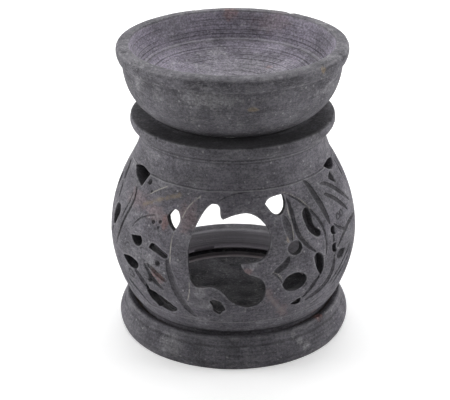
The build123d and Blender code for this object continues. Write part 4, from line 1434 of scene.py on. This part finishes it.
def darken(tree, color, *shares):
    """A colour times one less a share, or less the product of several."""
    return scaled(tree, color, calc(tree, "SUBTRACT", 1.0, times(tree, *shares)))


def attribute(tree, name):
    """A number that the piece carries at every point."""
    return put(tree, "ShaderNodeAttribute", attribute_name=name).outputs["Fac"]


def rubbed_line(tree, place, away, width):
    """A thin line where a distance is nil, which comes and goes."""
    return use(tree, "edge_wear", Place=place, Distance=away, Width=width)["Mask"]


def millimetres(tree):
    """The place on the piece, in millimetres."""
    return scaled(tree, put(tree, "ShaderNodeTexCoord").outputs["Object"], 1 / MM)


def soapstone(name, close, depths, dust, violets, patches):
    """The stone up to its colour and height; depths and violets are pairs, for outside and inside."""
    material, tree = new_material(name)
    place = millimetres(tree)
    room = attribute(tree, "room")
    depth = ramp(tree, room, 0.0, 1.0, *depths)
    grain = use(tree, "stone_grain", Place=place, Flakes=0.55)
    rings = use(tree, "turning_rings", Place=place, Run=attribute(tree, "run"), Close=close, Depth=depth)
    marks = use(tree, "scratches", Place=place, Amount=dust)
    color = tint(tree, DARK_STONE, PALE_STONE, ramp(tree, grain["Clouds"], 0.3, 0.7))
    bloom = ramp(tree, noise(tree, place, 0.07, 3.0), 0.36, 0.62, 0.55, 1.0)
    color = tint(tree, color, VIOLET, bloom, ramp(tree, room, 0.0, 1.0, *violets))
    for centre, squash, radius, kind, strength in patches:
        mask = use(tree, "stone_patch", Place=place, Centre=centre, Squash=squash, Radius=radius)["Mask"]
        color = tint(tree, color, kind, mask, strength)
    color = tint(tree, color, TALC, marks["Dust"], 0.36)
    color = darken(tree, color, rings["Dark"], 0.44)
    color = darken(tree, color, ramp(tree, grain["Streaks"], 0.34, 0.66, 0.2, -0.2))
    color = darken(tree, color, ramp(tree, grain["Fine"], 0.33, 0.67, 0.42, -0.42))
    color = tint(tree, color, FLAKE, grain["Flakes"], 0.75)
    color = tint(tree, color, TALC, marks["Marks"], 0.45)
    color = tint(tree, color, TALC, rubbed_line(tree, place, attribute(tree, "edge"), 0.75), 0.26)
    # Painted shade: darker close to the creases.
    color = darken(tree, color, ramp(tree, attribute(tree, "crease"), 0.75, 0.1, 0.0, 0.4))
    height = times(tree, rings["Height"], 0.35)
    height = calc(tree, "MULTIPLY_ADD", grain["Fine"], 0.16, height)
    height = calc(tree, "MULTIPLY_ADD", marks["Marks"], -0.05, height)
    return material, tree, place, color, height


def finish_stone(tree, place, color, height):
    """Puts colour, height and roughness on the shader: rough, a little less where hands rubbed it."""
    shader = tree.nodes["Principled BSDF"]
    bump = put(tree, "ShaderNodeBump", {"Height": height, "Distance": MM, "Strength": 1.0})
    roughness = ramp(tree, noise(tree, place, 0.16, 3.0), 0.35, 0.65, 0.7, 0.95)
    tree.links.new(color, shader.inputs["Base Color"])
    tree.links.new(roughness, shader.inputs["Roughness"])
    tree.links.new(bump.outputs[0], shader.inputs["Normal"])
    shader.inputs["Specular IOR Level"].default_value = 0.35


# %% [markdown]
# ### Bowl and base
# The bowl has the clearest rings and the most dust, because oil and fingers have worked on it. Its
# well is paler than its wall, and talc has gathered on the step round the well. The base is plainer,
# with a pale vein that slants down its foot on the right. The edge of the candle's well gets a painted
# highlight, and the front of the base gets painted shade, darkest under the pot's belly.

# %% Stone of the bowl and the base
BOWL_PATCHES = (
    ((-0.5, 33.0, 99.0), (1.0, 1.0, 1.0), 3.0, RUST, 0.5),
    ((14.0, 29.0, 97.0), (0.4, 0.8, 1.0), 4.0, RUST, 0.18),
    ((5.9, -34.8, 89.3), (0.8, 1.0, 1.5), 1.3, OCHRE, 0.35),
    ((27.9, -25.3, 98.5), (1.0, 1.0, 1.0), 1.3, OCHRE, 0.45),
    ((12.4, 12.8, 86.0), (1.0, 1.0, 1.0), 1.4, ROSE, 0.6),
    ((-8.0, -34.6, 92.6), (0.3, 1.0, 1.4), 4.0, TALC, 0.35),
    ((4.3, 10.0, 85.5), (0.4, 0.5, 1.0), 7.0, TALC, 0.25),
)
BASE_PATCHES = (
    ((19.3, -32.2, 9.4), (1.0, 1.0, 0.7), 1.1, TALC, 0.35),
    ((21.3, -31.9, 6.9), (1.0, 1.0, 0.6), 1.3, TALC, 0.4),
    ((23.7, -31.3, 4.3), (1.0, 1.0, 0.8), 1.5, TALC, 0.5),
    ((25.8, -29.9, 1.5), (1.0, 1.0, 0.8), 1.0, TALC, 0.35),
    ((27.2, -23.0, 11.0), (1.0, 1.0, 1.0), 2.2, RUST, 0.7),
    ((-21.3, -32.3, 5.7), (0.8, 0.8, 0.8), 3.6, TALC, 0.3),
)
# A pale colour for the edge of the candle's well: a painted highlight.
WELL_EDGE_HIGHLIGHT = (0.58, 0.52, 0.54, 1.0)


def bowl_stone():
    """The shared stone, with talc on the rim and on the step, and a paler well."""
    looks = {"depths": (0.35, 1.8), "dust": 1.0, "violets": (0.15, 0.95), "patches": BOWL_PATCHES}
    material, tree, place, color, height = soapstone("bowl_soapstone", close=1.7, **looks)
    up = part_of(tree, place, "Z")
    well = attribute(tree, "room")
    color = tint(tree, color, TALC, ramp(tree, up, RIM_TOP - 1.6, RIM_TOP - 0.4), 0.05)
    color = darken(tree, color, well, ramp(tree, up, 90.0, 93.5, -0.36, -0.18))
    step = ramp(tree, gap(tree, up, 91.0), 0.6, 0.1)
    gathered = ramp(tree, noise(tree, place, 0.2, 3.0), 0.4, 0.6, 0.2, 1.0)
    color = tint(tree, color, TALC, step, gathered, well, 0.3)
    finish_stone(tree, place, color, height)
    return material


def base_stone():
    """The shared stone, with a painted highlight on the edge of the candle's well and painted shade on its
    front.
    """
    looks = {"depths": (0.6, 0.3), "dust": 0.8, "violets": (0.2, 0.0), "patches": BASE_PATCHES}
    material, tree, place, color, height = soapstone("base_soapstone", close=0.8, **looks)
    up = part_of(tree, place, "Z")
    color = darken(tree, color, attribute(tree, "room"), 0.02)
    flat = vector_math(tree, "MULTIPLY", place, (1.0, 1.0, 0.0))
    from_axis = vector_math(tree, "LENGTH", flat, output="Value")
    edge = ramp(tree, gap(tree, from_axis, WELL_EDGE[0]), 0.65, 0.15)
    # Painted highlight: a pale ring round the edge of the candle's well.
    color = tint(tree, color, WELL_EDGE_HIGHLIGHT, edge, ramp(tree, up, 6.5, 7.0), 0.95)
    # Painted shade: the front of the base is darker, most of all next to the joint under the pot.
    front = ramp(tree, part_of(tree, place, "Y"), -16.0, -33.0)
    color = darken(tree, color, front, ramp(tree, up, 9.4, 10.8, 0.16, 0.25))
    finish_stone(tree, place, color, height)
    return material


bowl.data.materials.append(bowl_stone())
base.data.materials.append(base_stone())

# %% [markdown]
# ### Pot
# The pot's stone is the same, and then come the strokes with painted shade in their beds and rubbed
# edges, the two scribed lines that frame the band, with painted shade in the upper one, the pale lines
# where a point has skidded, the veins, ochre on the left and a dull rose on the right, and the walls of
# the holes, darkened as painted shade. Low in the chamber the ash has left a pale band with tide rings;
# it is painted paler than ash, to stand in for light that hardly reaches there. The collar's front and
# its top are darkened as painted shade under the bowl.

# %% Stone of the pot
POT_PATCHES = (
    ((-14.2, -34.8, 53.4), (0.7, 0.7, 0.5), 3.0, ROSE, 0.25),
    ((3.6, -41.4, 37.3), (0.9, 1.0, 1.2), 1.9, ROSE, 0.45),
    ((-31.0, -21.0, 53.6), (0.5, 0.5, 1.0), 3.4, ROSE, 0.2),
    ((-24.5, -29.0, 51.6), (0.6, 0.6, 1.0), 3.0, ROSE, 0.25),
    ((10.9, -39.6, 28.2), (1.3, 0.6, 0.6), 2.0, ROSE, 0.18),
    ((13.0, -38.0, 24.6), (1.3, 0.6, 0.7), 1.8, ROSE, 0.18),
    ((15.6, -35.8, 20.4), (1.0, 0.6, 0.6), 2.2, ROSE, 0.22),
    ((-23.8, -33.6, 31.6), (0.9, 0.9, 0.7), 1.5, RUST, 0.5),
    ((-26.0, -32.0, 32.8), (0.9, 0.9, 0.7), 1.4, RUST, 0.45),
    ((-11.0, -40.0, 32.6), (0.8, 0.8, 1.0), 2.0, RUST, 0.35),
    ((-21.8, -32.4, 51.0), (1.0, 1.0, 0.5), 1.9, RUST, 0.5),
    ((17.4, -36.6, 47.6), (1.6, 1.6, 0.6), 1.4, OCHRE, 0.45),
    ((26.6, -22.5, 12.6), (1.0, 1.0, 1.0), 1.7, RUST, 0.6),
    ((-11.4, -39.7, 29.0), (0.8, 0.8, 0.8), 2.0, TALC, 0.22),
    ((6.2, -41.0, 39.2), (0.7, 0.7, 1.4), 1.6, TALC, 0.3),
    ((-7.2, -39.3, 24.0), (0.6, 0.8, 1.0), 2.4, TALC, 0.18),
    ((-27.0, -31.7, 36.2), (0.8, 0.8, 0.8), 2.6, TALC, 0.2),
    ((-12.4, -36.0, 17.9), (0.4, 0.8, 1.2), 2.0, TALC, 0.2),
)
# The pale band's colour: ash, made paler than ash to stand in for light in the chamber, so partly painted
# light.
ASH_AND_PAINTED_LIGHT = (0.45, 0.43, 0.47, 1.0)
DAMP_ASH = (0.33, 0.27, 0.33, 1.0)
PALE_BAND_TOP = 17.5
LOWER_LINE = CARVING_FOOT
UPPER_LINE = CARVING_FOOT + CARVING_HEIGHT


def scribed(tree, place, up, height_there, width=0.3):
    """A mask for a fine line round the outside of the pot: near one height, with a little waver."""
    waver = calc(tree, "MULTIPLY_ADD", noise(tree, place, 0.1, 2.0), 0.9, -0.45)
    line = ramp(tree, gap(tree, calc(tree, "ADD", up, waver), height_there), width, width * 0.3)
    return times(tree, line, calc(tree, "SUBTRACT", 1.0, attribute(tree, "room")))


def carving(tree, place, color):
    """Lays the strokes and the walls and lips of the holes over the stone, with painted shade in the beds
    and on the walls, and returns the beds too.
    """
    hole, cut = attribute(tree, "hole"), attribute(tree, "cut")
    bed = ramp(tree, cut, 0.1, -0.18)
    # Painted shade: darker towards the strokes and inside them.
    color = darken(tree, color, ramp(tree, cut, 0.6, 0.0, 0.0, 0.12))
    color = tint(tree, color, TALC, rubbed_line(tree, place, calc(tree, "SUBTRACT", cut, 0.16), 0.3), 0.22)
    color = tint(tree, color, TALC, rubbed_line(tree, place, calc(tree, "SUBTRACT", hole, 0.25), 0.5), 0.36)
    # Painted shade in the beds of the strokes, deeper where they are deeper.
    color = darken(tree, color, bed, ramp(tree, attribute(tree, "deep"), 0.1, 1.0, 0.28, 0.6))
    # Painted shade on the walls of the holes.
    return darken(tree, color, ramp(tree, hole, 0.05, -0.7), 0.45), bed


def veined(tree, place, color):
    """Lays the two veins over the stone: ochre on the left, dull rose on the right."""
    torn = calc(tree, "MULTIPLY_ADD", noise(tree, place, 0.7, 5.0, 0.75), 3.0, attribute(tree, "vein"))
    seam = ramp(tree, torn, 2.6, 1.3)
    side = part_of(tree, place, "X")
    color = tint(tree, color, OCHRE, seam, ramp(tree, side, 2.0, -2.0, 0.0, 0.34))
    return tint(tree, color, DULL_ROSE, seam, ramp(tree, side, -2.0, 2.0, 0.0, 0.36))


def ash_and_light_band(tree, up, color):
    """Lays a pale band over the foot of the chamber, with its tide rings and its damp foot: partly ash, and
    partly painted light, paler than ash to stand in for light that hardly gets in.
    """
    # Partly ash and partly painted light: a pale band low in the chamber.
    ash_and_light = times(tree, ramp(tree, up, PALE_BAND_TOP + 3, PALE_BAND_TOP), attribute(tree, "room"))
    color = tint(tree, color, ASH_AND_PAINTED_LIGHT, ash_and_light, 0.95)
    color = darken(tree, color, ash_and_light, ramp(tree, ripple(tree, up, 0.7, 0.6), 0.58, 0.4, -0.3, 0.1))
    return tint(tree, color, DAMP_ASH, ash_and_light, ramp(tree, up, 12.8, 10.5, 0.0, 0.35))


def pot_stone():
    """The shared stone with the carving laid over it."""
    looks = {"depths": (0.45, 0.9), "dust": 0.8, "violets": (0.25, 0.3), "patches": POT_PATCHES}
    material, tree, place, color, height = soapstone("pot_soapstone", close=0.9, **looks)
    up = part_of(tree, place, "Z")
    color, bed = carving(tree, place, color)
    patchy = ramp(tree, noise(tree, place, 0.5, 3.0), 0.32, 0.52)
    skid = times(tree, ramp(tree, attribute(tree, "pale"), 0.34, 0.08), patchy)
    color = veined(tree, place, tint(tree, color, WARM_TALC, skid, 0.7))
    upper, lower = scribed(tree, place, up, UPPER_LINE), scribed(tree, place, up, LOWER_LINE)
    color = tint(tree, color, TALC, scribed(tree, place, up, UPPER_LINE - 0.4), 0.3)
    # Painted shade in the upper scribed line, with a pale line just below it.
    color = darken(tree, color, upper, 0.3)
    color = ash_and_light_band(tree, up, tint(tree, color, TALC, lower, 0.35))
    # Painted shade under the bowl: the collar is darker in front.
    front = ramp(tree, part_of(tree, place, "Y"), -8.0, -26.0)
    color = darken(tree, color, front, ramp(tree, up, COLLAR_TOP - 5.0, COLLAR_TOP - 4.0, 0.0, 0.22))
    # Painted shade under the bowl: the collar's top is dark all round, darkest in front.
    collar_top_shade = calc(tree, "MULTIPLY_ADD", front, 0.3, 0.42)
    color = darken(tree, color, collar_top_shade, ramp(tree, up, COLLAR_TOP - 0.6, COLLAR_TOP - 0.2))
    height = calc(tree, "MULTIPLY_ADD", bed, -0.4, height)
    height = calc(tree, "MULTIPLY_ADD", calc(tree, "ADD", upper, lower), -0.22, height)
    height = calc(tree, "MULTIPLY_ADD", skid, -0.1, height)
    finish_stone(tree, place, color, height)
    return material


pot.data.materials.append(pot_stone())

# %% [markdown]
# ### Cement
# The cement is a brown-grey crumb, darker where it is damp with oil, with a few pale grains of sand.

# %% Cement
DAMP_CEMENT = (0.035, 0.028, 0.024, 1.0)
DRY_CEMENT = (0.12, 0.095, 0.068, 1.0)
SAND = (0.25, 0.23, 0.2, 1.0)


def cement_crumb():
    """Two sizes of noise for colour and height, and cells for the grains of sand."""
    material, tree = new_material("cement_crumb")
    place = millimetres(tree)
    grain = use(tree, "stone_grain", Place=place, Flakes=0.7)
    blotch = ramp(tree, noise(tree, place, 0.3, 4.0, 0.7), 0.35, 0.65)
    color = tint(tree, DAMP_CEMENT, DRY_CEMENT, blotch)
    color = tint(tree, color, SAND, grain["Flakes"], 0.5)
    height = calc(tree, "MULTIPLY_ADD", blotch, 0.3, times(tree, grain["Fine"], 0.4))
    finish_stone(tree, place, color, height)
    return material


cement.data.materials.append(cement_crumb())
